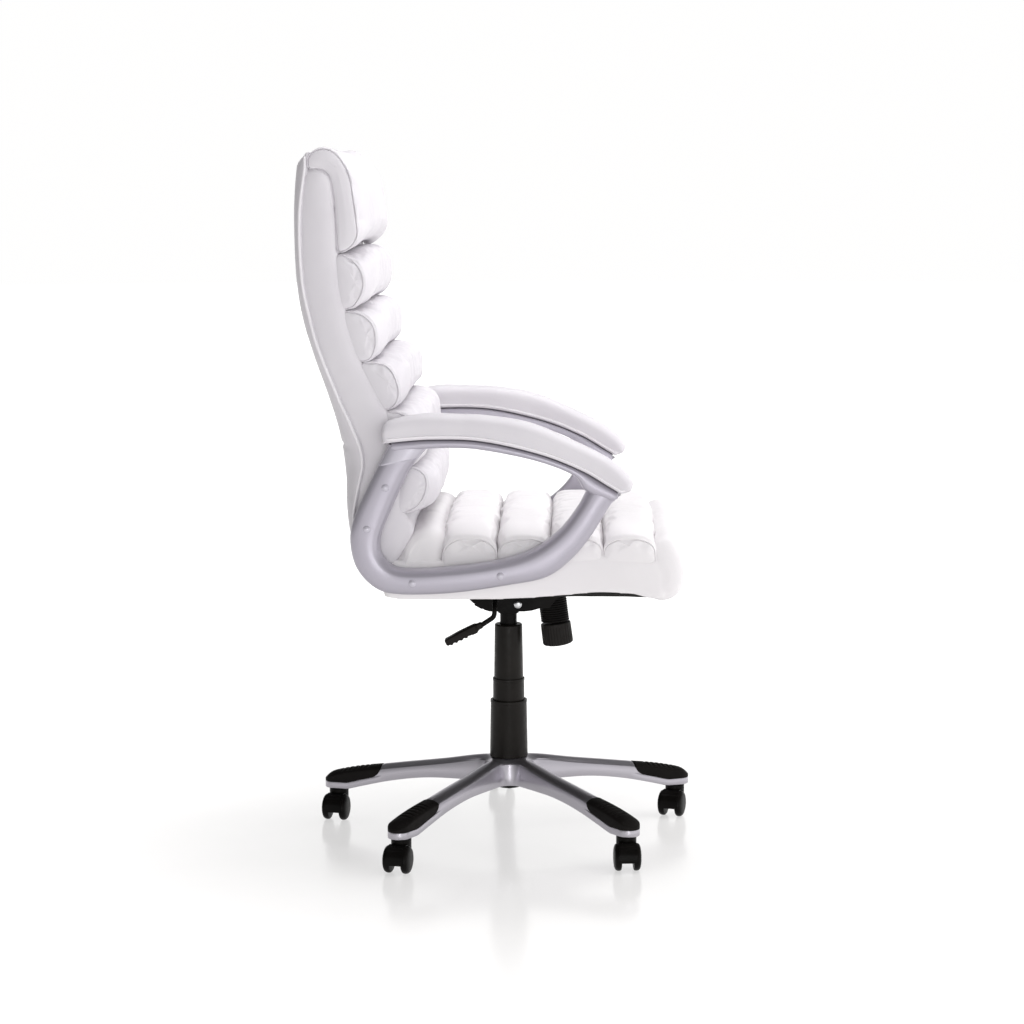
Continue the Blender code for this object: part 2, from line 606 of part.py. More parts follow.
def build_lever(mats, root):
    """Cranked rod that lifts to release the lift and slides to lock the tilt, with its grip."""
    y, z = LEVER_AXIS
    pivot = Vector((0.0, y, z))
    holder = add_empty("lever_axis", root, pivot)
    path = (
        (0.0120, 0.0, 0.4075), (-0.0030, 0.0, 0.4075), (-0.0060, 0.0030, 0.4095),
        (-0.0100, 0.0150, 0.4180), (-0.0130, y, z), (-0.1600, y, z), (-0.1690, y, 0.4180),
        (-0.1745, y, 0.4130), (LEVER_X, y, 0.4065), (LEVER_X, 0.0205, 0.4015),
        (LEVER_X, 0.0260, 0.3970), (LEVER_X, 0.0570, 0.3765),
    )
    rod_points = [Vector(point) - pivot for point in path]
    wire("lever_rod", rod_points, LEVER_RADIUS, 2, mats["black_metal"], holder)

    start, end = Vector((LEVER_X, 0.0420, 0.3864)), Vector((LEVER_X, 0.0975, 0.3605))
    along = (end - start).normalized()
    up = Vector((0.0, -along.z, along.y))
    if up.z < 0:
        up = -up
    across = Vector((1.0, 0.0, 0.0))
    rings = []
    for share, half_width, thick in ((0.0, 0.0085, 0.0058), (0.25, 0.0115, 0.0062),
                                     (0.85, 0.0125, 0.0056), (1.0, 0.0100, 0.0040)):
        middle = start.lerp(end, share) - pivot
        rings.append([middle + across * half_width * a + up * thick * b
                      for a, b in ((-1, -0.6), (-0.7, -1), (0.7, -1), (1, -0.6),
                                   (1, 0.6), (0.7, 1), (-0.7, 1), (-1, 0.6))])
    rod_end = rod_points[-1]
    run = (rod_end - rod_points[-2]).normalized()
    hole = rod(LEVER_RADIUS + 0.0006, rod_end - run * 0.030, rod_end + run * 0.0006, 12)
    grip = combined(lofted(rings), cuts=[hole])
    add_object("lever_grip", grip, mats["caster"], holder)

    slider = box((-0.034, y - 0.0085, 0.4145), (-0.016, y + 0.0085, 0.4250))
    slider_bore = along_x(LEVER_RADIUS + 0.0006, LEVER_AXIS, -0.05, 0.0, 12)
    add_object("lock_slider", combined(slider, cuts=[slider_bore]), mats["steel"], root)


# ---------------------------------------------------------------- seat, back and arms


def build_seat(mats, root):
    board_low, board_high = BOARD
    add_object("seat_board", box((-0.215, -0.225, board_low), (0.215, 0.165, board_high)),
               mats["plywood"], root)
    add_object("seat_lining", box((-0.226, -0.216, LINING[0]), (0.226, 0.176, LINING[1])),
               mats["lining"], root)

    rings = []
    for x, rise, slim in ((-SEAT_HALF_WIDTH, -0.022, 0.010), (-0.2280, 0.0, 0.0), (0.0, 0.005, 0.0),
                          (0.2280, 0.0, 0.0), (SEAT_HALF_WIDTH, -0.022, 0.010)):
        ring = []
        for y, z in SEAT_PROFILE:
            share = max(0.0, min(1.0, (z - 0.50) / 0.05))
            inward = slim if y < -0.24 else 0.0
            ring.append((x, y + inward, z + rise * share))
        rings.append(ring)
    pocket = box((-0.2155, -0.2255, SEAT_UNDERSIDE - 0.01), (0.2155, 0.1655, board_high + GAP))
    cushion = combined(lofted(rings), cuts=[pocket])
    add_object("seat_cushion", cushion, mats["white"], root)


def back_outline(forward):
    """Side outline of the back cushion, with its front moved forward by the crown."""
    front = []
    for y, z in BACK_FRONT:
        share = max(0.0, min(1.0, (z - 0.574) / 0.03))
        front.append((y - forward * share, z))
    return front + [(curve_value(BACK_REAR, z), z) for z in reversed(BACK_HEIGHTS)]


def board_outline(front, rear, margin=0.0):
    """Bent board between two offsets in front of the back's rear curve."""
    heights = list(BACK_HEIGHTS[1:-1])
    heights[0] -= margin
    heights[-1] += margin
    near = [(curve_value(BACK_REAR, z) - front, z) for z in heights]
    far = [(curve_value(BACK_REAR, z) - rear, z) for z in reversed(heights)]
    return near + far


def build_back(mats, root):
    rings = []
    for x, forward in ((-SEAT_HALF_WIDTH, 0.0), (-0.2320, 0.007), (0.0, 0.013),
                       (0.2320, 0.007), (SEAT_HALF_WIDTH, 0.0)):
        rings.append([(x, y, z) for y, z in back_outline(forward)])
    pocket = prism(board_outline(0.0126, -0.0100, GAP), -0.2055, 0.2055)
    add_object("back_cushion", combined(lofted(rings), cuts=[pocket]), mats["white"], root)

    board = prism(board_outline(0.0120, 0.0010), -0.2050, 0.2050)
    add_object("back_board", board, mats["plywood"], root)

    panel_rings = []
    for x, share in ((-0.2420, 0.18), (-0.2100, 0.62), (-0.1000, 1.0), (0.1000, 1.0),
                     (0.2100, 0.62), (0.2420, 0.18)):
        ring = []
        for z in BACK_HEIGHTS:
            ring.append((x, curve_value(BACK_REAR, z) + 0.0006, z))
        for z in reversed(BACK_HEIGHTS):
            edge = curve_value(BACK_REAR, z) + 0.0006
            ring.append((x, edge + (curve_value(PANEL_REAR, z) - edge) * share, z))
        panel_rings.append(ring)
    add_object("back_panel", lofted(panel_rings), mats["white"], root)


def arm_frame_mesh(side):
    """Looped arm frame: the strut's outer and inner curves, closed by the top rail."""
    outer = smooth_path(ARM_OUTER_LOOP, 22) + smooth_path(RAIL_TOP, 11)[1:-1]
    inner = smooth_path(ARM_INNER_LOOP, 22) + smooth_path(RAIL_BOTTOM, 11)[1:-1]
    bm = bmesh.new()
    loops = []
    for outline, x in ((outer, ARM_OUTER), (outer, ARM_INNER), (inner, ARM_INNER),
                       (inner, ARM_OUTER)):
        loops.append([bm.verts.new((side * x, p.x, p.y)) for p in outline])
    count = len(outer)
    for first, second in zip(loops, loops[1:] + loops[:1]):
        for i in range(count):
            j = (i + 1) % count
            bm.faces.new((first[i], first[j], second[j], second[i]))
    return finished(bm)


def pad_mesh(side):
    under = [(p.x, p.y + 0.0005) for p in smooth_path(RAIL_TOP, 11)]
    crest = [(p.x, p.y) for p in smooth_path(PAD_CREST, 16)]
    return prism(under + crest, side * (ARM_INNER + GAP), side * PAD_OUTER)


def build_arms(mats, root):
    for name, side in (("right", -1.0), ("left", 1.0)):
        frame = add_object(f"arm_frame_{name}", arm_frame_mesh(side), mats["arm"], root)
        add_bevel(frame, 0.006)
        pad = add_object(f"arm_pad_{name}", pad_mesh(side), mats["white"], root)
        add_bevel(pad, 0.007)


# ---------------------------------------------------------------- assembly


def main():
    clear_scene()
    mats = {
        "silver": make_material("silver_base", (0.55, 0.55, 0.58), 0.35, 0.8),
        "arm": make_material("arm_paint", (0.50, 0.49, 0.56), 0.45, 0.3),
        "grip": make_material("grip_rubber", (0.02, 0.02, 0.02), 0.75),
        "caster": make_material("black_plastic", (0.02, 0.02, 0.021), 0.5),
        "cover": make_material("cover_plastic", (0.022, 0.020, 0.018), 0.6),
        "black_metal": make_material("black_metal", (0.015, 0.015, 0.015), 0.4, 0.4),
        "steel": make_material("steel", (0.6, 0.6, 0.6), 0.3, 1.0),
        "bush": make_material("bush_plastic", (0.5, 0.5, 0.47), 0.6),
        "plywood": make_material("plywood", (0.55, 0.40, 0.24), 0.7),
        "lining": make_material("lining_fabric", (0.02, 0.02, 0.02), 0.9),
        "white": make_material("white_leather", (0.85, 0.84, 0.85), 0.5),
    }
    root = add_empty("chair", location=ROOT_SHIFT)
    tilt = add_empty("tilt_axis", root, (0.0, *TILT_PIVOT))
    lean = (math.radians(SPRING_LEAN_DEG), 0.0, 0.0)
    tension = add_empty("tension_axis", root, SPRING_SEAT, lean)
    spring_axis = tension.matrix_basis.copy()

    build_base(mats, root)
    build_casters(mats, root)
    build_gas_lift(mats, root)
    build_cover(mats, root)
    build_tray(mats, root, spring_axis)
    build_seat_plate(mats, tilt)
    build_tension(mats, tension)
    build_lever(mats, root)
    build_seat(mats, root)
    build_back(mats, root)
    build_arms(mats, root)


main()
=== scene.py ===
"""Looks of the swivel office chair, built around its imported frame.

Every visible surface is remade here at the frame's size, in metres: the star base with its foot
grips, the casters, the telescopic cover, the tilt mechanism with spring, knob and lever, the looped
arms with their pads, and the upholstery, which is a set of padded rolls between sewn creases.
Pieces are drawn about the gas lift's axis, facing -Y, with heights from a datum just below the
floor, and are then moved to where the frame has them.
"""

import math

import bmesh
import bpy
from mathutils import Matrix, Vector, noise


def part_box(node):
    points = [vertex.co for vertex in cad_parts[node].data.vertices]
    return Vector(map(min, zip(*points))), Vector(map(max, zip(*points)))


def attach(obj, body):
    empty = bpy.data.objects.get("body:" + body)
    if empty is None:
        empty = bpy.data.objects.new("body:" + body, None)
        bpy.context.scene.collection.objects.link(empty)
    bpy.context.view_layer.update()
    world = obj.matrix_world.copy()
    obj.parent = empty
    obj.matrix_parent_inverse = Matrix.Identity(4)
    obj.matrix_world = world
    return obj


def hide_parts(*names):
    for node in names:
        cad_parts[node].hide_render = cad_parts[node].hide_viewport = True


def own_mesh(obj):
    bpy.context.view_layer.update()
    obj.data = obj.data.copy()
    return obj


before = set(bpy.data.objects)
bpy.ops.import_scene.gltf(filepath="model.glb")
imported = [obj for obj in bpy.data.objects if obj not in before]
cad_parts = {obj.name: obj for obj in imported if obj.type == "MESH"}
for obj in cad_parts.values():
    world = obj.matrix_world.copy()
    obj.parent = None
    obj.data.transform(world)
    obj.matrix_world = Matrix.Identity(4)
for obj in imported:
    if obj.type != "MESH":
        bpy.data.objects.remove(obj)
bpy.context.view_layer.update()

# ---------------------------------------------------------------- places taken from the frame


def centre_of(node):
    low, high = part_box(node)
    return (low + high) / 2


LIFT_AXIS = centre_of("gas_cylinder")
FLOOR_HEIGHT = 0.0070  # above the datum that heights are measured from
ORIGIN = Vector((LIFT_AXIS.x, LIFT_AXIS.y, -FLOOR_HEIGHT))
TILT_PIVOT = centre_of("tilt_pin") - ORIGIN

# ---------------------------------------------------------------- dimensions


def mm(*points):
    """Points written in millimetres, turned into metres."""
    return tuple(tuple(value / 1000 for value in point) for point in points)


# Base
LEG_COUNT = 5
FIRST_LEG = math.radians(3.2)
HALF_STEP = math.pi / LEG_COUNT
LEG_HALF_WIDTH = 0.0170
LEG_TIP_HALF_WIDTH = 0.0185
LEG_TIP_CENTRE = 0.3100
VALLEY_FILLET = 0.0210
HUB_BORE = 0.0212
BAND_HEIGHT = 0.0110
SHOULDER_DROP = 0.0060
WALL_DRAFT = 0.10
SHOULDER_WIDTH = 0.0165
GRIP_START = 0.2240
GRIP_STEP = 0.0009
GRIP_SINK = 0.0028
LEG_TOP = mm((0, 134.5), (45, 133.8), (113, 122.5), (180, 112.5), (219, 106.5), (260, 100.5),
             (288, 95), (308, 89.8), (320, 85.8), (332, 80.2))
LEG_BOTTOM = mm((0, 91.5), (120, 91.5), (160, 88.5), (210, 80), (255, 69), (285, 61.2),
                (295, 61), (332, 61))

# Upholstery, as (y, z) seen from the side
SEAT_HALF = 0.2455
SEAT_REAR = 0.1925
SEAT_FRONT = -0.2620
SEAT_CORNER = 0.0200
SEAT_TOP = 0.5385  # of the rolls at the seat's sides
SEAT_CROWN = 0.0215  # how much higher the rolls are over most of the width
REAR_ROLL_SEWN = 0.4900
BOARD_UNDERSIDE = 0.4404
LINING_LAP = 0.0012
BACK_BOTTOM = 0.4700
BACK_TOP = 1.1138
BACK_HALF = 0.2462
PANEL_HALF = 0.2400
PANEL_SEAM = 0.6800
SEAM_HEIGHT = mm((-262, 486), (-245, 501), (-206, 508), (-159, 513.5), (-123, 512.5), (-60, 509),
                 (11, 505), (96, 504), (186, 504))
SEAT_EDGE = mm((-262, 452), (-245, 442), (-224, 444), (-206, 449), (-185, 451), (-144, 452),
               (-97, 448), (-24, 442.5), (50, 441), (160, 441), (186, 443))
SEAT_GAPS = (0.098, 0.011, -0.073, -0.155, -0.238)
FRONT_ROLL = mm((-229, 488), (-230, 512), (-240, 527), (-255, 531.5), (-268, 526), (-278.5, 511),
                (-283.5, 488), (-281, 462), (-269, 444), (-251, 437), (-235, 440), (-224, 446),
                (-226, 465))
REAR_ROLL = mm((189, 480), (183, 495), (171.5, 512), (158, 533), (143, 551), (125, 561),
               (108, 561), (96.5, 551), (90.5, 532), (93, 495), (140, 474))
BACK_ROLLS = (
    mm((252, 982), (232, 970), (221, 954), (217, 936), (222, 919), (233, 903), (246, 896.5)),
    mm((243, 894.5), (228, 891), (214, 883), (203, 870), (199, 851), (201, 834), (209, 820),
       (220, 815.5)),
    mm((216, 814.5), (196, 813), (181, 806), (169, 789), (164, 768), (169, 751), (182, 739.5)),
    mm((179, 738.5), (162, 734), (146, 722), (136, 703), (133, 683), (136, 666), (147, 652.5)),
    mm((147, 651), (134, 646), (124, 635), (122, 618), (129, 600), (142, 586), (160, 578)),
)
HEADREST = mm((303, 1130), (293, 1142), (279, 1146.5), (267, 1144), (255, 1136), (244, 1120),
              (236, 1099), (231, 1068), (227, 1036), (225, 1016), (229, 1002), (239, 990),
              (253, 984), (259, 990), (260.5, 1024), (263.5, 1068), (268.5, 1096), (274, 1107),
              (284, 1111.5), (300, 1112))
HEADREST_MIDDLE = (0.2560, 1.1180)
PANEL_FRONT = mm((470, 185), (496, 174), (508, 165), (531, 151), (548, 143), (562, 145),
                 (577, 155), (600, 158.5), (619, 157), (642, 151), (663, 144), (690, 156),
                 (728, 176), (767, 195), (814, 220), (848, 231), (875, 240), (918, 248),
                 (953, 253), (985, 256), (1024, 258), (1068, 261), (1098, 266), (1109, 273),
                 (1114, 283))
PIPING = mm((470, 213), (500, 225), (540, 233.5), (573, 236), (600, 232), (634, 225), (652, 221.5),
            (678, 224), (698, 231), (724, 242), (750, 254), (784, 268), (814, 280), (848, 292),
            (884, 301), (927, 310), (971, 314), (1024, 315), (1061, 313), (1114, 305.5),
            (1140, 302))
PANEL_REAR = mm((470, 221), (500, 236), (540, 247.5), (580, 253), (630, 256), (700, 267),
                (762, 284), (831, 307), (898, 324), (975, 331), (1067, 331), (1128, 325),
                (1140, 322))

# Arms
ARM_INNER = 0.2475
ARM_OUTER = 0.2920
PAD_OUTER = 0.2995
PAD_LIFT = 0.0038  # of the pad above its rail
SIDES = (("right", -1.0), ("left", 1.0))
ARM_BOW = 0.0034  # how far the outer face comes inward towards the loop's ends
ARM_OUTER_LOOP = mm((177, 690.5), (204, 638), (231, 581), (240, 541), (230, 496), (200, 464),
                    (160, 454.5), (82, 457), (-3, 469), (-66, 482), (-107, 512), (-138, 550),
                    (-165, 594), (-182, 610.5))
ARM_INNER_LOOP = mm((120, 683.5), (146, 649), (175, 588), (193, 541), (187, 511), (157, 494),
                    (81, 497), (9, 507), (-45, 525), (-87, 556), (-115, 592), (-128, 617))
RAIL_TOP = mm((-182, 610.5), (-158, 625), (-120, 647), (-56, 672), (33, 692), (110, 695),
              (177, 690.5))
RAIL_BOTTOM = mm((-128, 617), (-107, 643), (-46, 666), (34, 682), (80, 685), (120, 683.5))
PAD_BASE = mm((186, 688), (177, 690)) + RAIL_TOP[-2::-1]
PAD_CREST = mm((188, 714), (176, 727.5), (125, 738), (68, 737), (26, 735), (-40, 724), (-106, 697),
               (-158, 671), (-184, 652), (-200, 633), (-198, 620))
SCREW_CAPS = mm((183, 624), (212, 559), (142, 474), (5, 486))

# ---------------------------------------------------------------- curves and meshes


def curve_value(points, at):
    """Smooth value at a position, from (position, value) pairs in rising order."""
    if at <= points[0][0]:
        return points[0][1]
    if at >= points[-1][0]:
        return points[-1][1]
    slopes = []
    for i in range(len(points)):
        before = points[max(i - 1, 0)]
        after = points[min(i + 1, len(points) - 1)]
        slopes.append((after[1] - before[1]) / (after[0] - before[0]))
    index = max(i for i in range(len(points) - 1) if points[i][0] <= at)
    (p0, v0), (p1, v1) = points[index], points[index + 1]
    step = p1 - p0
    t = (at - p0) / step
    return ((2 * t**3 - 3 * t**2 + 1) * v0 + (t**3 - 2 * t**2 + t) * step * slopes[index]
            + (3 * t**2 - 2 * t**3) * v1 + (t**3 - t**2) * step * slopes[index + 1])


def smooth_path(points, count, closed=False):
    """Evenly spaced points on a Catmull-Rom curve through the given ones."""
    total = len(points)
    spans = total if closed else total - 1
    fine = []
    per_span = 12
    for k in range(spans * per_span + 1):
        place = k / per_span
        i = min(int(place), spans - 1)
        t = place - i
        picks = []
        for j in (i - 1, i, i + 1, i + 2):
            picks.append(Vector(points[j % total if closed else min(max(j, 0), total - 1)]))
        p0, p1, p2, p3 = picks
        fine.append(0.5 * (2 * p1 + (p2 - p0) * t + (2 * p0 - 5 * p1 + 4 * p2 - p3) * t**2
                           + (3 * p1 - p0 - 3 * p2 + p3) * t**3))
    return even_path(fine, count, closed)


def even_path(points, count, closed=False):
    """Evenly spaced points on straight lines; a closed line ends on its own first point."""
    reach = [0.0]
    for a, b in zip(points, points[1:]):
        reach.append(reach[-1] + (b - a).length)
    path = []
    pieces = count if closed else count - 1
    at = 0
    for k in range(count):
        target = reach[-1] * k / pieces
        while at < len(reach) - 2 and reach[at + 1] < target:
            at += 1
        span = reach[at + 1] - reach[at]
        share = (target - reach[at]) / span if span > 0 else 0.0
        path.append(points[at].lerp(points[at + 1], min(share, 1.0)))
    return path


def ease(low, high, at):
    """0 below low, 1 above high, and smooth between."""
    t = max(0.0, min(1.0, (at - low) / (high - low)))
    return t * t * (3 - 2 * t)


def shares(steps):
    """Even shares from 0 to 1."""
    return [step / steps for step in range(steps + 1)]


def angles(count):
    """Even angles once round."""
    return [k / count * math.tau for k in range(count)]


def power(value, exponent):
    return math.copysign(abs(value) ** exponent, value)


def stored(bm, name):
    mesh = bpy.data.meshes.new(name)
    bm.to_mesh(mesh)
    bm.free()
    return mesh


def linked(name, data):
    obj = bpy.data.objects.new(name, data)
    bpy.context.scene.collection.objects.link(obj)
    return obj


def applied(obj):
    """Smooth-shaded mesh of an object with its modifiers worked in."""
    bpy.context.view_layer.update()
    depsgraph = bpy.context.evaluated_depsgraph_get()
    mesh = bpy.data.meshes.new_from_object(obj.evaluated_get(depsgraph))
    mesh.shade_smooth()
    return mesh


def mesh_from(bm, merge=0.0, sharp=40.0):
    if merge:
        bmesh.ops.remove_doubles(bm, verts=bm.verts, dist=merge)
    bmesh.ops.recalc_face_normals(bm, faces=bm.faces)
    mesh = stored(bm, "surface")
    mesh.shade_smooth()
    if sharp:
        mesh.set_sharp_from_angle(angle=math.radians(sharp))
    return mesh


def loft(rings, closed=False, merge=0.0, sharp=40.0):
    """Mesh through rings of equal length; closed joins the last ring to the first."""
    bm = bmesh.new()
    rows = [[bm.verts.new(point) for point in ring] for ring in rings]
    count = len(rows[0])
    pairs = list(zip(rows, rows[1:]))
    if closed:
        pairs.append((rows[-1], rows[0]))
    for near, far in pairs:
        for i in range(count):
            j = (i + 1) % count
            bm.faces.new((near[i], near[j], far[j], far[i]))
    if not closed:
        bm.faces.new(rows[0][::-1])
        bm.faces.new(rows[-1])
    return mesh_from(bm, merge, sharp)


def turned(profile, sides=64, wave=None, sharp=35.0):
    """Body of revolution about Z from (radius, height) points; wave changes radius by angle."""
    bm = bmesh.new()
    rows = []
    for angle in angles(sides):
        row = []
        for radius, height in profile:
            r = radius + (wave(angle, radius, height) if wave else 0.0)
            row.append(bm.verts.new((r * math.cos(angle), r * math.sin(angle), height)))
        rows.append(row)
    for near, far in zip(rows, rows[1:] + rows[:1]):
        for i in range(len(profile) - 1):
            bm.faces.new((near[i], far[i], far[i + 1], near[i + 1]))
    bmesh.ops.remove_doubles(bm, verts=bm.verts, dist=1e-6)
    bmesh.ops.dissolve_degenerate(bm, edges=bm.edges, dist=1e-7)
    return mesh_from(bm, sharp=sharp)


def rounded(profile, radius, steps=4):
    """Open (r, z) profile whose inner corners are replaced by arcs."""
    points = [Vector(p) for p in profile]
    result = [points[0]]
    for before, corner, after in zip(points, points[1:], points[2:]):
        reach = min(radius, (before - corner).length * 0.45, (after - corner).length * 0.45)
        start = corner + (before - corner).normalized() * reach
        end = corner + (after - corner).normalized() * reach
        for t in shares(steps):
            result.append((1 - t)**2 * start + 2 * t * (1 - t) * corner + t**2 * end)
    result.append(points[-1])
    return [(p.x, p.y) for p in result]


def tube(points, radius, sides=12, closed=False):
    """Round bar along 3D points, its section carried along without twist."""
    rings = []
    total = len(points)
    normal = None
    for i, point in enumerate(points):
        if closed:
            along = (points[(i + 1) % total] - points[i - 1]).normalized()
        else:
            along = (points[min(i + 1, total - 1)] - points[max(i - 1, 0)]).normalized()
        if normal is None:
            normal = along.orthogonal().normalized()
        normal = (normal - along * normal.dot(along)).normalized()
        side = along.cross(normal)
        ring = []
        for angle in angles(sides):
            ring.append(point + (normal * math.cos(angle) + side * math.sin(angle)) * radius)
        rings.append(ring)
    return loft(rings, closed=closed)


def rod(radius, start, end, sides=48):
    start = Vector(start)
    along = Vector(end) - start
    mesh = turned(((0.0, 0.0), (radius, 0.0), (radius, along.length), (0.0, along.length)), sides)
    mesh.transform(Matrix.Translation(start) @ along.to_track_quat("Z", "Y").to_matrix().to_4x4())
    return mesh


def prism(outline, x_start, x_end):
    return loft([[(x, y, z) for y, z in outline] for x in (x_start, x_end)])


def box(low, high):
    outline = ((low[1], low[2]), (high[1], low[2]), (high[1], high[2]), (low[1], high[2]))
    return prism(outline, low[0], high[0])


def combined(body, joins, cuts, bevel):
    """Body with the joins united to it and the cuts taken away, and its edges rounded."""
    scratch = [linked("scratch", mesh) for mesh in (body, *joins, *cuts)]
    base = scratch[0]
    operations = ["UNION"] * len(joins) + ["DIFFERENCE"] * len(cuts)
    for tool, operation in zip(scratch[1:], operations):
        boolean = base.modifiers.new(operation.lower(), "BOOLEAN")
        boolean.operation = operation
        boolean.object = tool
    edge = base.modifiers.new("bevel", "BEVEL")
    edge.width = bevel
    edge.segments = 3
    edge.limit_method = "ANGLE"
    edge.angle_limit = math.radians(30.0)
    result = applied(base)
    for obj in scratch:
        bpy.data.objects.remove(obj, do_unlink=True)
    result.set_sharp_from_angle(angle=math.radians(40.0))
    return result


def piece(name, mesh, mat, body, nodes=(), place=None):
    """Adds a finished piece: its look, the body it rides on and the CAD nodes it stands for."""
    obj = linked(name, mesh)
    if not mesh.materials:
        mesh.materials.append(mat)
    obj.matrix_world = Matrix.Translation(ORIGIN) @ (place or Matrix.Identity(4))
    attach(obj, body)
    if nodes:
        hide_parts(*nodes)
    return obj


# ---------------------------------------------------------------- materials


class Look:
    """A material's nodes: a Principled shader fed by procedural patterns in object space."""

    def __init__(self, name, roughness, metallic=0.0, specular=0.5):
        self.material = bpy.data.materials.new(name)
        self.material.use_nodes = True
        self.tree = self.material.node_tree
        self.shader = self.tree.nodes["Principled BSDF"]
        self.shader.inputs["Roughness"].default_value = roughness
        self.shader.inputs["Metallic"].default_value = metallic
        self.shader.inputs["Specular IOR Level"].default_value = specular
        self.coords = self.tree.nodes.new("ShaderNodeTexCoord").outputs["Object"]
        self.normal = None

    def pattern(self, kind, scale, coords=None):
        """A node of a scaled pattern over the object's coordinates."""
        node = self.tree.nodes.new(kind)
        node.inputs["Scale"].default_value = scale
        self.tree.links.new(coords or self.coords, node.inputs["Vector"])
        return node

    def stretched(self, scale):
        """Object coordinates with a scale of their own along each axis."""
        return self.pattern("ShaderNodeMapping", scale).outputs["Vector"]

    def noise(self, scale, detail=3.0, coords=None):
        node = self.pattern("ShaderNodeTexNoise", scale, coords)
        node.inputs["Detail"].default_value = detail
        return node.outputs["Fac"]

    def cells(self, scale):
        node = self.pattern("ShaderNodeTexVoronoi", scale)
        node.feature = "SMOOTH_F1"
        node.inputs["Smoothness"].default_value = 0.35
        return node.outputs["Distance"]

    def wave(self, scale, axis):
        node = self.pattern("ShaderNodeTexWave", scale)
        node.bands_direction = axis
        return node.outputs["Fac"]

    def colour(self, factor, dark, light, low=0.35, high=0.65):
        ramp = self.tree.nodes.new("ShaderNodeValToRGB")
        ramp.color_ramp.elements[0].position = low
        ramp.color_ramp.elements[1].position = high
        ramp.color_ramp.elements[0].color = (*dark, 1.0)
        ramp.color_ramp.elements[1].color = (*light, 1.0)
        self.tree.links.new(factor, ramp.inputs["Fac"])
        self.tree.links.new(ramp.outputs["Color"], self.shader.inputs["Base Color"])

    def roughness(self, factor, low, high):
        span = self.tree.nodes.new("ShaderNodeMapRange")
        span.inputs["From Min"].default_value = 0.3
        span.inputs["From Max"].default_value = 0.7
        span.inputs["To Min"].default_value = low
        span.inputs["To Max"].default_value = high
        self.tree.links.new(factor, span.inputs["Value"])
        self.tree.links.new(span.outputs["Result"], self.shader.inputs["Roughness"])

    def bump(self, height, strength, distance):
        node = self.tree.nodes.new("ShaderNodeBump")
        node.inputs["Strength"].default_value = strength
        node.inputs["Distance"].default_value = distance
        self.tree.links.new(height, node.inputs["Height"])
        if self.normal:
            self.tree.links.new(self.normal, node.inputs["Normal"])
        self.normal = node.outputs["Normal"]
        self.tree.links.new(self.normal, self.shader.inputs["Normal"])

    def set(self, name, value):
        self.shader.inputs[name].default_value = value


def leather(name, dark, light):
    look = Look(name, 0.45, specular=0.35)
    look.colour(look.noise(9.0, 4.0), dark, light)
    look.roughness(look.noise(140.0, 3.0), 0.40, 0.56)
    look.bump(look.noise(38.0, 2.0), 0.10, 0.0012)
    look.bump(look.cells(620.0), 0.22, 0.00035)
    look.bump(look.noise(1500.0, 2.0), 0.10, 0.00015)
    return look.material


def plastic(name, dark, light, roughness, specular=0.3, grain=1800.0):
    look = Look(name, roughness, specular=specular)
    look.colour(look.noise(26.0, 3.0), dark, light)
    look.roughness(look.noise(90.0, 3.0), roughness - 0.06, roughness + 0.08)
    look.bump(look.noise(grain, 2.0), 0.35, 0.00012)
    return look.material


def metal(name, dark, light, roughness, metallic, brushed=None):
    look = Look(name, roughness, metallic)
    pattern = look.stretched(brushed) if brushed else look.coords
    flake = 2600.0
    look.colour(look.noise(60.0 if brushed else flake, 2.0, pattern), dark, light, 0.3, 0.7)
    look.roughness(look.noise(12.0, 2.0), roughness - 0.02, roughness + 0.03)
    look.bump(look.noise(flake, 1.0, pattern), 0.02, 0.00001)
    return look.material


def wood(name):
    look = Look(name, 0.62, specular=0.3)
    look.colour(look.noise(14.0, 6.0, look.stretched((1.0, 9.0, 60.0))), (0.42, 0.27, 0.14),
                (0.66, 0.48, 0.29))
    look.bump(look.noise(120.0, 4.0, look.stretched((1.0, 8.0, 30.0))), 0.3, 0.0003)
    return look.material


def fabric(name, dark, light):
    look = Look(name, 0.9, specular=0.15)
    look.colour(look.noise(400.0, 2.0), dark, light)
    look.bump(look.wave(900.0, "X"), 0.4, 0.0003)
    look.bump(look.wave(900.0, "Y"), 0.4, 0.0003)
    return look.material


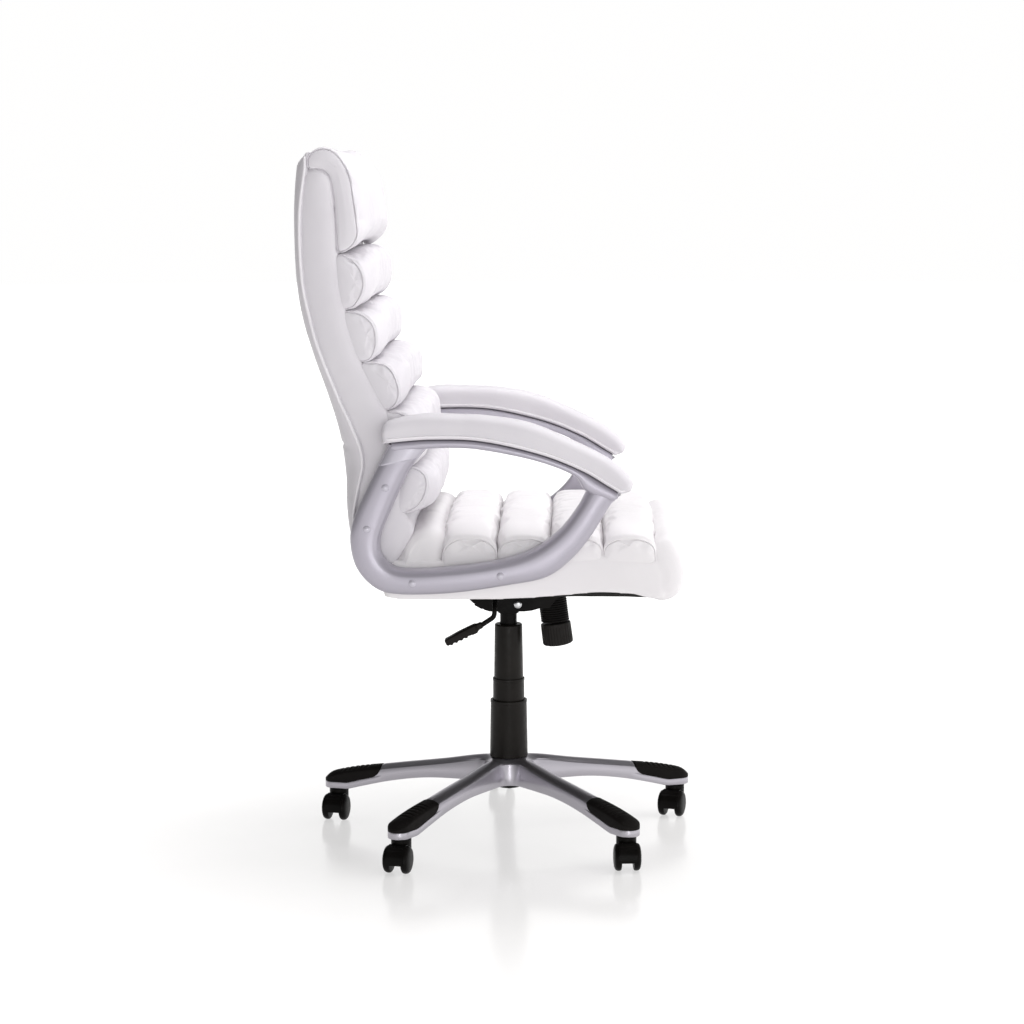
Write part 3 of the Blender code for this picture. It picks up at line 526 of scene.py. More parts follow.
MATS = {
    # The back, its rolls and the arm pads wear a darker copy of the white leather: painted shade
    # for the dimmer light on them. The seat and the piping keep the lighter copy.
    "leather": leather("white_leather", (0.588, 0.565, 0.597), (0.622, 0.600, 0.630)),
    "seat_leather": leather("seat_leather", (0.700, 0.678, 0.692), (0.734, 0.714, 0.726)),
    "piping": leather("white_piping", (0.715, 0.692, 0.720), (0.750, 0.728, 0.754)),
    "silver": metal("silver_base", (0.445, 0.428, 0.468), (0.478, 0.460, 0.500), 0.30, 0.9),
    "arm": metal("arm_paint", (0.372, 0.352, 0.404), (0.412, 0.392, 0.444), 0.32, 0.42),
    # A lighter copy of the arm paint, used on the sockets and screw caps: painted highlight, for
    # the light band the sockets catch over the strut's rear top.
    "cap": metal("cap_paint_painted_highlight", (0.45, 0.43, 0.485), (0.52, 0.50, 0.56), 0.26, 0.25),
    "grip": plastic("grip_rubber", (0.0050, 0.0042, 0.0040), (0.0085, 0.0075, 0.0070), 0.58, 0.09),
    "caster": plastic("black_plastic", (0.0028, 0.0025, 0.0022), (0.0050, 0.0044, 0.0040), 0.34,
                      0.08),
    "knob": plastic("knob_plastic", (0.0060, 0.0048, 0.0042), (0.0105, 0.0088, 0.0080), 0.50,
                    0.16),
    "cover": plastic("cover_plastic", (0.0052, 0.0040, 0.0031), (0.0080, 0.0064, 0.0052), 0.38,
                     0.17),
    "black_metal": plastic("black_metal", (0.0040, 0.0036, 0.0034), (0.0075, 0.0068, 0.0064),
                           0.42, 0.07, 1200.0),
    "steel": metal("steel", (0.52, 0.52, 0.53), (0.68, 0.68, 0.69), 0.28, 1.0,
                   brushed=(1.0, 1.0, 30.0)),
    "bush": plastic("bush_plastic", (0.44, 0.43, 0.40), (0.55, 0.54, 0.50), 0.5),
    "plywood": wood("plywood"),
    "lining": fabric("lining_fabric", (0.008, 0.008, 0.008), (0.022, 0.021, 0.020)),
}
KEPT_NODES = {
    "black_metal": ("tension_bolt",),
    "steel": ("thrust_bearing", "piston_rod", "release_button", "lock_slider",
              *(f"caster_stem_{k + 1}" for k in range(LEG_COUNT)),
              *(f"caster_axle_{k + 1}" for k in range(LEG_COUNT))),
    "bush": ("column_bush",),
    "plywood": ("seat_board", "back_board"),
}


def dress_kept_nodes():
    for key, names in KEPT_NODES.items():
        for name in names:
            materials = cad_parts[name].data.materials
            materials.clear()
            materials.append(MATS[key])


# ---------------------------------------------------------------- base


def leg_half_width(distance):
    share = max(0.0, min(1.0, (distance - 0.19) / (LEG_TIP_CENTRE - 0.19)))
    return LEG_HALF_WIDTH + share * (LEG_TIP_HALF_WIDTH - LEG_HALF_WIDTH)


def star_outline():
    """Half of one leg's outline, from the valley to the tip, as (edge point, inner point)."""
    reach = (LEG_HALF_WIDTH + VALLEY_FILLET) / math.sin(HALF_STEP)
    middle = Vector((reach * math.cos(HALF_STEP), reach * math.sin(HALF_STEP)))
    pairs = []
    for share in shares(14):
        turn = math.pi + HALF_STEP + share * (math.pi / 2 - HALF_STEP)
        away = Vector((math.cos(turn), math.sin(turn)))
        edge = middle + away * VALLEY_FILLET
        inner = Vector((middle.x - middle.y * math.tan(math.pi * 1.5 - turn), 0.0))
        if inner.x < HUB_BORE:
            ahead = edge.dot(away)
            inner = edge + away * (-ahead - math.sqrt(ahead**2 - edge.length_squared
                                                      + HUB_BORE**2))
        pairs.append((edge, inner))
    straight_steps = 44
    for step in range(1, straight_steps + 1):
        x = middle.x + (LEG_TIP_CENTRE - middle.x) * step / straight_steps
        pairs.append((Vector((x, leg_half_width(x))), Vector((x, 0.0))))
    tip = Vector((LEG_TIP_CENTRE, 0.0))
    for share in shares(12)[1:]:
        angle = share * math.pi / 2
        outward = Vector((math.sin(angle), math.cos(angle)))
        pairs.append((tip + outward * LEG_TIP_HALF_WIDTH, tip))
    return pairs


def star_column(edge, inner):
    """Section of the base from under its middle, round the edge, to the top of its middle."""
    reach = edge.length
    floor, top = curve_value(LEG_BOTTOM, reach), curve_value(LEG_TOP, reach)
    inward = inner - edge
    depth = inward.length
    inward = inward.normalized()
    sunk = ease(GRIP_START + 0.001, GRIP_START + 0.004, reach)
    step_in, sink = GRIP_STEP * sunk, GRIP_SINK * sunk
    wall_top = top - SHOULDER_DROP - sink
    hollow = 0.006
    lean = WALL_DRAFT * (wall_top - floor - BAND_HEIGHT) * (1 - sunk)
    column = [(inner, curve_value(LEG_BOTTOM, inner.length) + hollow)]
    for share in (0.7, 0.4):
        spot = edge.lerp(inner, share)
        column.append((spot, curve_value(LEG_BOTTOM, spot.length) + hollow))
    column += [
        (edge + inward * 0.0042, floor + hollow),
        (edge + inward * 0.0036, floor + 0.0006),
        (edge + inward * 0.0028, floor),
        (edge + inward * 0.0010, floor),
        (edge + inward * 0.0003, floor + 0.0004),
        (edge, floor + 0.0012),
        (edge, floor + BAND_HEIGHT - 0.0006),
        (edge + inward * 0.0002 * sunk, floor + BAND_HEIGHT - 0.0001),
        (edge + inward * (step_in + 0.0002 * sunk), floor + BAND_HEIGHT + 0.0002),
        (edge + inward * step_in, floor + BAND_HEIGHT + 0.0012),
        (edge + inward * (step_in + lean), wall_top - 0.0010),
        (edge + inward * (step_in + lean + 0.0002), wall_top - 0.0004),
        (edge + inward * (step_in + lean + 0.0006), wall_top),
    ]
    for share in (0.10, 0.2, 0.32, 0.45, 0.6, 0.75, 0.9):
        inset = step_in + lean + SHOULDER_WIDTH * share
        spot = edge + inward * min(inset, depth * (0.1 + 0.82 * share))
        level = curve_value(LEG_TOP, spot.length) - sink
        column.append((spot, level - SHOULDER_DROP * (1 - share)**1.8))
    spot = edge.lerp(inner, 0.94)
    column.append((spot, curve_value(LEG_TOP, spot.length) - sink))
    column.append((inner, curve_value(LEG_TOP, inner.length) - sink))
    return [Vector((p.x, p.y, z)) for p, z in column]


def star_mesh():
    columns = [star_column(edge, inner) for edge, inner in star_outline()]
    bm = bmesh.new()
    for leg in range(LEG_COUNT):
        turn = Matrix.Rotation(FIRST_LEG + leg * 2 * HALF_STEP, 4, "Z")
        for side in (1.0, -1.0):
            rows = []
            for column in columns:
                spots = [turn @ Vector((p.x, p.y * side, p.z)) for p in column]
                rows.append([bm.verts.new(spot) for spot in spots])
            for near, far in zip(rows, rows[1:]):
                for i in range(len(near) - 1):
                    bm.faces.new((near[i], near[i + 1], far[i + 1], far[i]))
                if (near[0].co.xy.length < HUB_BORE + 1e-5
                        and far[0].co.xy.length < HUB_BORE + 1e-5):
                    bm.faces.new((near[-1], near[0], far[0], far[-1]))
    bmesh.ops.remove_doubles(bm, verts=bm.verts, dist=2e-6)
    bmesh.ops.dissolve_degenerate(bm, edges=bm.edges, dist=1e-6)
    return mesh_from(bm, sharp=28.0)


def grip_mesh():
    """Ribbed rubber cover over a leg's end, its lower inner corners rounded."""
    corner, rib_pitch = 0.0150, 0.0092
    straight_steps = 96
    stations = []
    for k in range(straight_steps + 1):
        stations.append((GRIP_START + (LEG_TIP_CENTRE - GRIP_START) * k / straight_steps, 0.0))
    stations += [(LEG_TIP_CENTRE, share * math.pi / 2) for share in shares(18)[1:]]
    rings = []
    for centre, angle in stations:
        width = leg_half_width(centre)
        reach = centre + width * math.sin(angle)
        along = reach - GRIP_START
        foot = curve_value(LEG_BOTTOM, reach) + BAND_HEIGHT + 0.0003
        wall_top = curve_value(LEG_TOP, reach) - SHOULDER_DROP
        if along < corner:
            foot += corner - math.sqrt(max(corner**2 - (corner - along)**2, 0.0))
        foot = min(foot, wall_top - 0.001)
        thick = 0.0002 + 0.0011 * ease(0.0, 0.0030, along)
        side = [(0.0012, foot + 0.0002), (0.0003, foot), (0.0, foot + 0.0007)]
        side += [(0.0, foot + (wall_top - foot) * s) for s in (0.3, 0.6, 0.85)]
        for share in (0.0, 0.05, 0.12, 0.2, 0.3, 0.42, 0.55, 0.7, 0.85, 1.0):
            inset = SHOULDER_WIDTH * share
            spot = reach - inset * math.sin(angle)
            rise = curve_value(LEG_TOP, spot) - SHOULDER_DROP * (1 - share)**2.2
            ribbed = ease(0.2440, 0.2500, spot) * (1 - ease(0.2985, 0.3040, spot))
            groove = (0.5 + 0.5 * math.cos((spot - 0.2500) / rib_pitch * math.tau))**3
            side.append((max(inset, 0.0002), rise - 0.0017 * groove * ribbed
                         * ease(0.22, 0.42, share)))
        cut = 0.0013 - thick

        def placed(inset, height, inner):
            w = max(width - inset - inner, 0.0)
            return (centre + w * math.sin(angle), w * math.cos(angle), height - inner)

        right = [placed(inset, z, cut) for inset, z in side]
        left = [(x, -y, z) for x, y, z in reversed(right)]
        under = [placed(inset, z, 0.0014) for inset, z in side[2:]]
        under_left = [(x, -y, z) for x, y, z in under]
        rings.append(right + left + under_left + under[::-1])
    return loft(rings, merge=1e-6, sharp=60.0)


def build_base():
    piece("star_base", star_mesh(), MATS["silver"], "root", ["base_star"])
    grip = grip_mesh()
    for leg in range(LEG_COUNT):
        place = Matrix.Rotation(FIRST_LEG + leg * 2 * HALF_STEP, 4, "Z")
        piece(f"ribbed_grip_{leg + 1}", grip, MATS["grip"], "root",
              [f"foot_grip_{leg + 1}"], place)


# ---------------------------------------------------------------- casters

WHEEL_RADIUS = 0.0220
WHEEL_TRAIL = 0.0180
AXLE_HEIGHT = FLOOR_HEIGHT + WHEEL_RADIUS
HOOD_RADIUS = 0.0238
HOOD_HALF_WIDTH = 0.0142
HOOD_WEB = 0.0090
HOOD_LOWER_EDGE = FLOOR_HEIGHT + 0.0170


def caster_hood():
    """Hood with a low ridge over its front, a web between the wheels and a neck."""
    outline = []
    first, last, steps = -13.0, 192.0, 48
    for step in range(steps + 1):
        degrees = first + (last - first) * step / steps
        angle = math.radians(degrees)
        ridge = 0.0005 * (ease(14.0, 18.0, degrees) - ease(44.0, 48.0, degrees))
        radius = HOOD_RADIUS - 0.0003 + ridge
        outline.append((WHEEL_TRAIL + radius * math.cos(angle),
                        max(AXLE_HEIGHT + radius * math.sin(angle), HOOD_LOWER_EDGE)))
    kept = [outline[0]]
    for point in outline[1:]:
        if (Vector(point) - Vector(kept[-1])).length > 5e-4:
            kept.append(point)
    kept.append((0.0, HOOD_LOWER_EDGE))
    arch_mesh = loft([[(x, y, z) for x, z in kept]
                      for y in (-HOOD_HALF_WIDTH, HOOD_HALF_WIDTH)])
    neck_radius, collar_radius, axle_bore, stem_bore = 0.0162, 0.0140, 0.0035, 0.0060
    neck = rod(neck_radius, (0.0, 0.0, 0.0340), (0.0, 0.0, 0.0586), 56)
    collar = rod(collar_radius, (0.0, 0.0, 0.0575), (0.0, 0.0, 0.0607), 56)
    cuts = []
    for side in (-1.0, 1.0):
        cuts.append(rod(WHEEL_RADIUS + 0.0006, (WHEEL_TRAIL, side * HOOD_WEB, AXLE_HEIGHT),
                        (WHEEL_TRAIL, side * 0.030, AXLE_HEIGHT), 80))
    cuts.append(rod(axle_bore, (WHEEL_TRAIL, -0.03, AXLE_HEIGHT),
                    (WHEEL_TRAIL, 0.03, AXLE_HEIGHT), 24))
    cuts.append(rod(stem_bore, (0.0, 0.0, 0.0420), (0.0, 0.0, 0.0700), 32))
    return combined(arch_mesh, joins=[neck, collar], cuts=cuts, bevel=0.0006)


def wheel_mesh():
    """Wheel about Z with a rounded tread, a domed outer face and a bore for the axle."""
    inner, bore = 0.0095, 0.0036
    profile = [(bore, inner), (0.0186, inner), (0.0202, 0.0099), (0.0213, 0.0108),
               (0.0218, 0.0121), (WHEEL_RADIUS, 0.0136), (0.02195, 0.0152), (0.0216, 0.0167),
               (0.0210, 0.0180), (0.0201, 0.0191), (0.0190, 0.0199), (0.0182, 0.0202),
               (0.0180, 0.0200), (0.0178, 0.0200), (0.0176, 0.0204), (0.0160, 0.0210),
               (0.0120, 0.0217), (0.0070, 0.0221), (0.0, 0.0222)]
    return turned(profile + [(0.0, 0.0192), (bore, 0.0192), (bore, inner)], 80, sharp=35.0)


def build_casters():
    hood = caster_hood()
    wheel = wheel_mesh()
    for k in range(1, LEG_COUNT + 1):
        pivot = centre_of(f"caster_stem_{k}") - ORIGIN
        trail = centre_of(f"caster_axle_{k}") - ORIGIN - pivot
        heading = math.atan2(trail.y, trail.x)
        place = Matrix.Translation((pivot.x, pivot.y, 0.0)) @ Matrix.Rotation(heading, 4, "Z")
        piece(f"twin_hood_{k}", hood, MATS["caster"], f"caster_fork_{k}",
              [f"caster_hood_{k}"], place)
        axle = place @ Matrix.Translation((WHEEL_TRAIL, 0.0, AXLE_HEIGHT))
        for which, turn in (("a", math.pi / 2), ("b", -math.pi / 2)):
            piece(f"wheel_{which}_{k}", wheel, MATS["caster"], f"caster_roll_{which}_{k}",
                  [f"caster_wheel_{which}_{k}"],
                  axle @ Matrix.Rotation(turn, 4, "X"))


# ---------------------------------------------------------------- gas lift and cover


def build_lift():
    column = rounded(mm((6.2, 86), (6.2, 82), (20.2, 82), (20.8, 134.2), (20.8, 245),
                        (19.2, 245), (18.7, 86), (6.2, 86)), 0.0009)
    piece("column_tube", turned(column, 64), MATS["black_metal"], "root",
          ["outer_column"])
    cylinder = rounded(mm((5.7, 206), (5.7, 198), (14, 198), (14, 378), (13, 398.5),
                          (4.8, 398.5), (4.8, 378.5), (11.6, 378.5), (11.6, 206), (5.7, 206)),
                       0.0006)
    piece("lift_tube", turned(cylinder, 64), MATS["black_metal"], "lift_cylinder",
          ["gas_cylinder"])
    stages = (
        ("cover_stage_low", "root", "cover_bottom",
         mm((30, 135.2), (31.8, 135.2), (30.3, 226.2), (30.8, 226.8), (30.8, 231), (27, 231),
            (27, 229), (28.7, 228), (30, 135.2))),
        ("cover_stage_middle", "cover_stage", "cover_middle",
         mm((25.4, 175), (26.6, 175), (26.2, 263.2), (26.7, 263.8), (26.7, 268), (25.2, 268),
            (25.4, 175))),
        ("cover_stage_top", "lift_cylinder", "cover_top",
         mm((23.3, 254), (24.7, 254), (23.1, 358), (21.8, 360), (14.6, 360), (14.6, 358.5),
            (21.5, 357.5), (23.3, 254))),
    )
    for name, body, node, profile in stages:
        piece(name, turned(rounded(profile, 0.0005, 3), 96), MATS["cover"], body,
              [node])


# ---------------------------------------------------------------- tilt mechanism

SPRING_SEAT = Vector((0.0, -0.0723, 0.4120))
SPRING_LEAN = math.radians(-7.3)
SPRING_AXIS = Matrix.Translation(SPRING_SEAT) @ Matrix.Rotation(SPRING_LEAN, 4, "X")
SPRING_TOP = -0.0026
SPRING_BOTTOM = -0.0478
LEVER_AXIS = Vector((0.0, 0.0180, 0.4200))
LEVER_X = -0.1760
PIN_BORE = 0.0045


def along_x(radius, place, x_start, x_end, sides=32):
    return rod(radius, (x_start, *place), (x_end, *place), sides)


def build_tray():
    wall, sheet = 0.048, 0.003
    outside = mm((55, 398.5), (44, 392.5), (-46.5, 392.5), (-47.5, 409), (-104, 416.2),
                 (-104, 427.5), (-20, 427.5), (55, 412.5))
    inside = mm((52, 401.5), (43.5, 395.5), (-43.5, 395.5), (-44.5, 412), (-101, 419.2),
                (-101, 440), (52, 440))
    body = prism(outside, -wall, wall)
    socket_profile = mm((0, 378), (17.5, 378), (18.5, 385), (18.5, 394), (0, 394))
    socket = turned(rounded(socket_profile, 0.002), 48)
    hollow = prism(inside, sheet - wall, wall - sheet)
    bore = turned(mm((0, 376), (14.6, 376), (13.6, 401), (0, 401)), 48)
    bolt_hole = rod(0.0110, SPRING_AXIS @ Vector((0.0, 0.0, -0.012)),
                    SPRING_AXIS @ Vector((0.0, 0.0, 0.012)), 32)
    pivot = (TILT_PIVOT.y, TILT_PIVOT.z)
    pin_hole = along_x(PIN_BORE, pivot, -0.06, 0.06)
    lever_hole = along_x(0.0047, (LEVER_AXIS.y, LEVER_AXIS.z), -0.06, -0.04)
    tray = combined(body, joins=[socket], cuts=[hollow, bore, bolt_hole, pin_hole, lever_hole],
                    bevel=0.0008)
    piece("tilt_tray", tray, MATS["black_metal"], "lift_cylinder",
          ["mech_housing"])


def build_seat_plate():
    flange = mm((75, 437.5), (66, 412), (58, 404), (48, 398), (38, 391.5), (30, 389),
                (-28, 389), (-40, 390.5), (-52, 394), (-68, 394.6), (-79, 408), (-95, 419),
                (-112, 430), (-112, 437.5))
    body = box((-0.080, -0.118, 0.4365), (0.080, 0.088, 0.4395))
    inner_face, outer_face = 0.0505, 0.0530
    flanges = [prism(flange, side * inner_face, side * outer_face) for side in (-1.0, 1.0)]
    pin_hole = along_x(PIN_BORE, (TILT_PIVOT.y, TILT_PIVOT.z), -0.06, 0.06)
    lever_slot = box((-0.060, 0.0075, 0.4150), (-0.045, 0.0240, 0.4330))
    plate = combined(body, joins=flanges, cuts=[pin_hole, lever_slot], bevel=0.0006)
    piece("tilt_plate", plate, MATS["black_metal"], "seat", ["seat_plate"])

    head = 0.0533
    pin = [(0.0, -head - 0.0030), (0.0030, -head - 0.0029), (0.0052, -head - 0.0022),
           (0.0065, -head - 0.0008), (0.0065, -head), (0.0040, -head), (0.0040, head),
           (0.0065, head), (0.0065, head + 0.0008), (0.0052, head + 0.0022),
           (0.0030, head + 0.0029), (0.0, head + 0.0030)]
    place = Matrix.Translation(TILT_PIVOT) @ Matrix.Rotation(math.pi / 2, 4, "Y")
    piece("tilt_rivet", turned(pin, 40, sharp=30.0), MATS["steel"], "seat",
          ["tilt_pin"], place)

    bolt = mm((0, -4.5), (3.5, -4.5), (6, -3.5), (6.5, -2), (10, -1.8), (10, -0.6), (0, -0.6))
    bolt_mesh = turned(bolt, 32, sharp=30.0)
    number = 0
    for x in (-0.068, 0.068):
        for y in (-0.106, 0.076):
            number += 1
            piece(f"plate_bolt_{number}", bolt_mesh, MATS["black_metal"], "seat",
                  place=Matrix.Translation((x, y, 0.4370)))


def build_tension():
    turns, per_turn = 12, 28
    radius, wire = 0.0221, 0.00175
    coil = []
    for step in range(turns * per_turn + 1):
        angle = step / per_turn * math.tau
        share = step / (turns * per_turn)
        coil.append(Vector((radius * math.cos(angle), radius * math.sin(angle),
                            SPRING_TOP + (SPRING_BOTTOM - SPRING_TOP) * share)))
    spring = piece("coil_spring", tube(coil, wire, 10), MATS["black_metal"], "lift_cylinder",
                   ["tension_spring"], SPRING_AXIS)
    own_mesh(spring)

    sleeve = rounded(mm((15, -3), (19.8, -3), (19.8, -47), (15, -47), (15, -3)), 0.001)
    core = piece("spring_core", turned(sleeve, 48), MATS["caster"], "lift_cylinder",
                 place=SPRING_AXIS)
    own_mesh(core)

    def flutes(angle, radius, height):
        depth = 0.0009 * ease(0.0228, 0.0246, radius) * ease(-0.0870, -0.0845, height)
        depth *= 1 - ease(-0.0560, -0.0540, height)
        return -depth * (0.5 + 0.5 * math.cos(angle * 30))**2

    knob = mm((0, -90), (7, -89.8), (13, -89.1), (19, -87.9), (23.4, -86.4), (25, -85),
              (25.5, -83.2), (25.5, -78), (25.4, -69), (25.3, -60), (25.2, -56), (25.1, -53),
              (24.8, -51.2), (23.6, -50.4), (5.6, -50.4), (5.6, -78), (0, -78))
    piece("fluted_knob", turned(knob, 240, wave=flutes), MATS["knob"], "knob",
          ["tension_knob"], SPRING_AXIS)


def build_lever():
    y, z = LEVER_AXIS.y, LEVER_AXIS.z
    route = ((0.0120, 0.0, 0.4075), (-0.0030, 0.0, 0.4075), (-0.0065, 0.0040, 0.4102),
             (-0.0095, 0.0140, 0.4175), (-0.0130, y, z), (-0.0600, y, z), (-0.1100, y, z),
             (-0.1560, y, z), (-0.1690, y, 0.4180), (-0.1748, y, 0.4120),
             (LEVER_X, y + 0.0003, 0.4060), (LEVER_X, 0.0205, 0.4010),
             (LEVER_X, 0.0270, 0.3962), (LEVER_X, 0.0420, 0.3864), (LEVER_X, 0.0570, 0.3765))
    piece("lever_bar", tube(smooth_path(route, 160), 0.0040, 16), MATS["black_metal"], "lever",
          ["lever_rod"])

    start, end = Vector((LEVER_X, 0.0375, 0.3893)), Vector((LEVER_X, 0.0975, 0.3605))
    along = (end - start).normalized()
    up = Vector((0.0, -along.z, along.y))
    rings = []
    rib_pitch, squareness = 0.13, 0.40
    for share in shares(84):
        wide = ease(0.10, 0.20, share)
        nose = math.sqrt(max(1 - max(0.0, (share - 0.95) / 0.05)**2, 0.03))
        tail = math.sqrt(max(1 - max(0.0, (0.03 - share) / 0.03)**2, 0.05))
        half_width = (0.0072 + 0.0050 * wide) * nose * tail
        thick_up = (0.0050 + 0.0016 * wide - 0.0018 * ease(0.5, 1.0, share)) * nose * tail
        ridge = 0.0016 * ease(0.2, 0.8, 0.5 + 0.5 * math.cos((share - 0.47) * math.tau / rib_pitch))
        ridge *= ease(0.34, 0.40, share) * (1 - ease(0.93, 0.97, share))
        thick_down = (0.0050 + 0.0030 * wide - 0.0014 * ease(0.28, 0.36, share)) * nose * tail
        middle = start.lerp(end, share)
        ring = []
        for angle in angles(36):
            a = power(math.cos(angle), squareness) * half_width
            b = power(math.sin(angle), squareness)
            b *= thick_up if b > 0 else thick_down + ridge * nose
            ring.append(middle + Vector((1.0, 0.0, 0.0)) * a + up * b)
        rings.append(ring)
    piece("lever_paddle", loft(rings), MATS["knob"], "lever",
          ["lever_grip"])


# ---------------------------------------------------------------- arms


def arm_bow(y):
    return ARM_BOW * ((y - 0.030) / 0.19)**2


def arm_section(outer, inner, side, proud=0.0, crown=0.0042):
    """Rounded section between an outer and an inner edge point, its outside slightly convex."""
    ring = []
    outer_x = ARM_OUTER - arm_bow(outer.lerp(inner, 0.5).x) + proud
    middle_x, half = (outer_x + ARM_INNER) / 2, (outer_x - ARM_INNER) / 2
    for angle in angles(44):
        across, outward = math.cos(angle), math.sin(angle)
        outside = outward > 0
        depth_power, width_power = (0.50, 0.42) if outside else (0.24, 0.26)
        x = middle_x + half * power(outward, depth_power)
        spread = power(across, width_power)
        if outside:
            x -= crown * abs(spread)**2.2
        point = outer.lerp(inner, 0.5 - 0.5 * spread)
        ring.append((side * x, point.x, point.y))
    return ring


def arm_edges():
    """Outer and inner edge of an arm's loop, from its rear top round to its front top."""
    return [smooth_path(loop, 130) for loop in (ARM_OUTER_LOOP, ARM_INNER_LOOP)]


def arm_strut(side):
    return loft([arm_section(o, i, side) for o, i in zip(*arm_edges())])


def arm_socket(side):
    """Sleeve over the strut's rear top, ending in a slanted joint line."""
    outer, inner = arm_edges()
    last_outer = min(range(60), key=lambda i: abs(outer[i].y - 0.6545))
    last_inner = min(range(60), key=lambda i: abs(inner[i].y - 0.6700))
    rings = []
    for share in shares(24):
        o = outer[0].lerp(outer[last_outer], share)
        i = inner[0].lerp(inner[last_inner], share)
        away = (o - i).normalized() * 0.0007
        edge = 0.0009 * math.sqrt(1 - ease(0.90, 1.0, share)**2)
        rings.append(arm_section(o + away, i - away, side, edge))
    return loft(rings)


def arm_rail(side):
    """Slim bar under the pad, from the rear of the strut to its front end."""
    count = 90
    top = [p + Vector((0.0, 0.0034)) for p in smooth_path(RAIL_TOP, count)]
    bottom = smooth_path(((-0.170, 0.6005),) + RAIL_BOTTOM + ((0.170, 0.6780),), count)
    rings = []
    for index, (high, low) in enumerate(zip(top, bottom)):
        place = index / (count - 1)
        end = min(1.0, min(place, 1 - place) / 0.012)
        round_off = math.sqrt(max(1 - (1 - end)**2, 0.04))
        middle = high.lerp(low, 0.5)
        rings.append(arm_section(middle.lerp(high, round_off), middle.lerp(low, round_off),
                                 side, 0.0016, 0.0022))
    return loft(rings)


def pad_rings(side):
    """Stations along an arm pad from rear to front; each is a ring round its section."""
    count = 110
    length, rounding = 0.40, 0.010
    under = [p + Vector((0.0, PAD_LIFT)) for p in smooth_path(PAD_BASE, count)]
    crest = smooth_path(PAD_CREST, count)
    rings = []
    middle_x = (ARM_INNER + PAD_OUTER) / 2
    half = (PAD_OUTER - ARM_INNER) / 2 - 0.0002
    for index, (low, high) in enumerate(zip(under, crest)):
        place = index / (count - 1)
        end = min(1.0, min(place, 1 - place) * length / rounding)
        narrow = 0.74 + 0.26 * math.sqrt(max(1 - (1 - end)**2, 0.0))
        ring = []
        for angle in angles(52):
            across, up = math.cos(angle), math.sin(angle)
            spread = power(across, 0.46)
            rise = 0.5 + 0.5 * power(up, 0.58 if up > 0 else 0.16)
            sink = 0.10 * abs(spread)**3 if up > 0 else 0.0
            height = rise * (1 - sink)
            tuck = 0.0016 * math.exp(-((height - 0.19) / 0.10)**2)
            ripple = quilt(low.x, height * 0.05, 70.0 + side, 0.0007)
            point = low.lerp(high, min(1.0, height))
            x = middle_x + (half - tuck * abs(spread)) * narrow * spread + ripple * spread
            ring.append((side * x, point.x, point.y))
        rings.append(ring)
    return rings


def pad_piping(side):
    """Piping round the pad a little above its lower edge."""
    lift = PAD_LIFT + 0.0056
    under = smooth_path(RAIL_TOP[::-1], 80)
    outer_x, inner_x = PAD_OUTER - 0.0014, ARM_INNER + 0.0014
    along = [(point.x, point.y + lift) for point in under]
    rear = Vector((outer_x, along[0][0] + 0.0038, along[0][1]))
    path = [Vector((side * outer_x, y, z)) for y, z in along]
    front_y, front_z = along[-1][0] - 0.0080, along[-1][1] + 0.0012
    nose = [Vector((side * (outer_x - 0.007), front_y - 0.001, front_z)),
            Vector((side * (inner_x + 0.007), front_y - 0.001, front_z))]
    back = [Vector((side * inner_x, y, z)) for y, z in reversed(along)]
    tail = [Vector((side * (inner_x + 0.007), rear.y, rear.z)),
            Vector((side * (outer_x - 0.007), rear.y, rear.z))]
    return tube(smooth_path([tuple(p) for p in path + nose + back + tail], 280, closed=True),
                0.0017, 10, closed=True)


def build_arms():
    cap = turned(mm((0, 3.6), (2, 3.4), (4, 2.7), (5.6, 1.5), (6.4, 0.1), (6.6, -1.2),
                    (7.3, -1.6), (7.3, -3.4), (0, -3.4)), 40, sharp=50.0)
    for name, side in SIDES:
        piece(f"arm_loop_{name}", arm_strut(side), MATS["arm"], "seat",
              [f"arm_frame_{name}"])
        piece(f"arm_rail_{name}", arm_rail(side), MATS["arm"], "seat")
        # The socket's lighter cap paint is a painted highlight band.
        piece(f"arm_socket_{name}", arm_socket(side), MATS["cap"], "seat")
        # The pad takes the darker leather copy, which is painted shade.
        pad = piece(f"padded_arm_{name}", loft(pad_rings(side), sharp=0.0), MATS["leather"],
                    "seat", [f"arm_pad_{name}"])
        piece(f"arm_piping_{name}", pad_piping(side), MATS["piping"], "seat")
        for number, (y, z) in enumerate(SCREW_CAPS):
            face = ARM_OUTER - 0.0010 - arm_bow(y)
            place = Matrix.Translation((side * face, y, z))
            place = place @ Matrix.Rotation(side * math.pi / 2, 4, "Y")
            piece(f"screw_cap_{name}_{number + 1}", cap, MATS["cap"], "seat",
                  place=place)


# ---------------------------------------------------------------- upholstery

CUSHIONS = []  # padded rolls, each with its sewn vertices and how far it may swell
SWELL_FRAMES = 20
ARCH_STEPS = 38
NOSE_POINTS = 38
GROOVE_STEPS = (2, 3, 4)  # those steps of a cap that lie in the sewn groove


def dome(spot, rim):
    """Share of its full height that a cap has at a point, rising away from its rim."""
    reach = min((spot - edge).length for edge in rim)
    return 1 - math.exp(-max(reach - 0.006, 0.0) / 0.010)


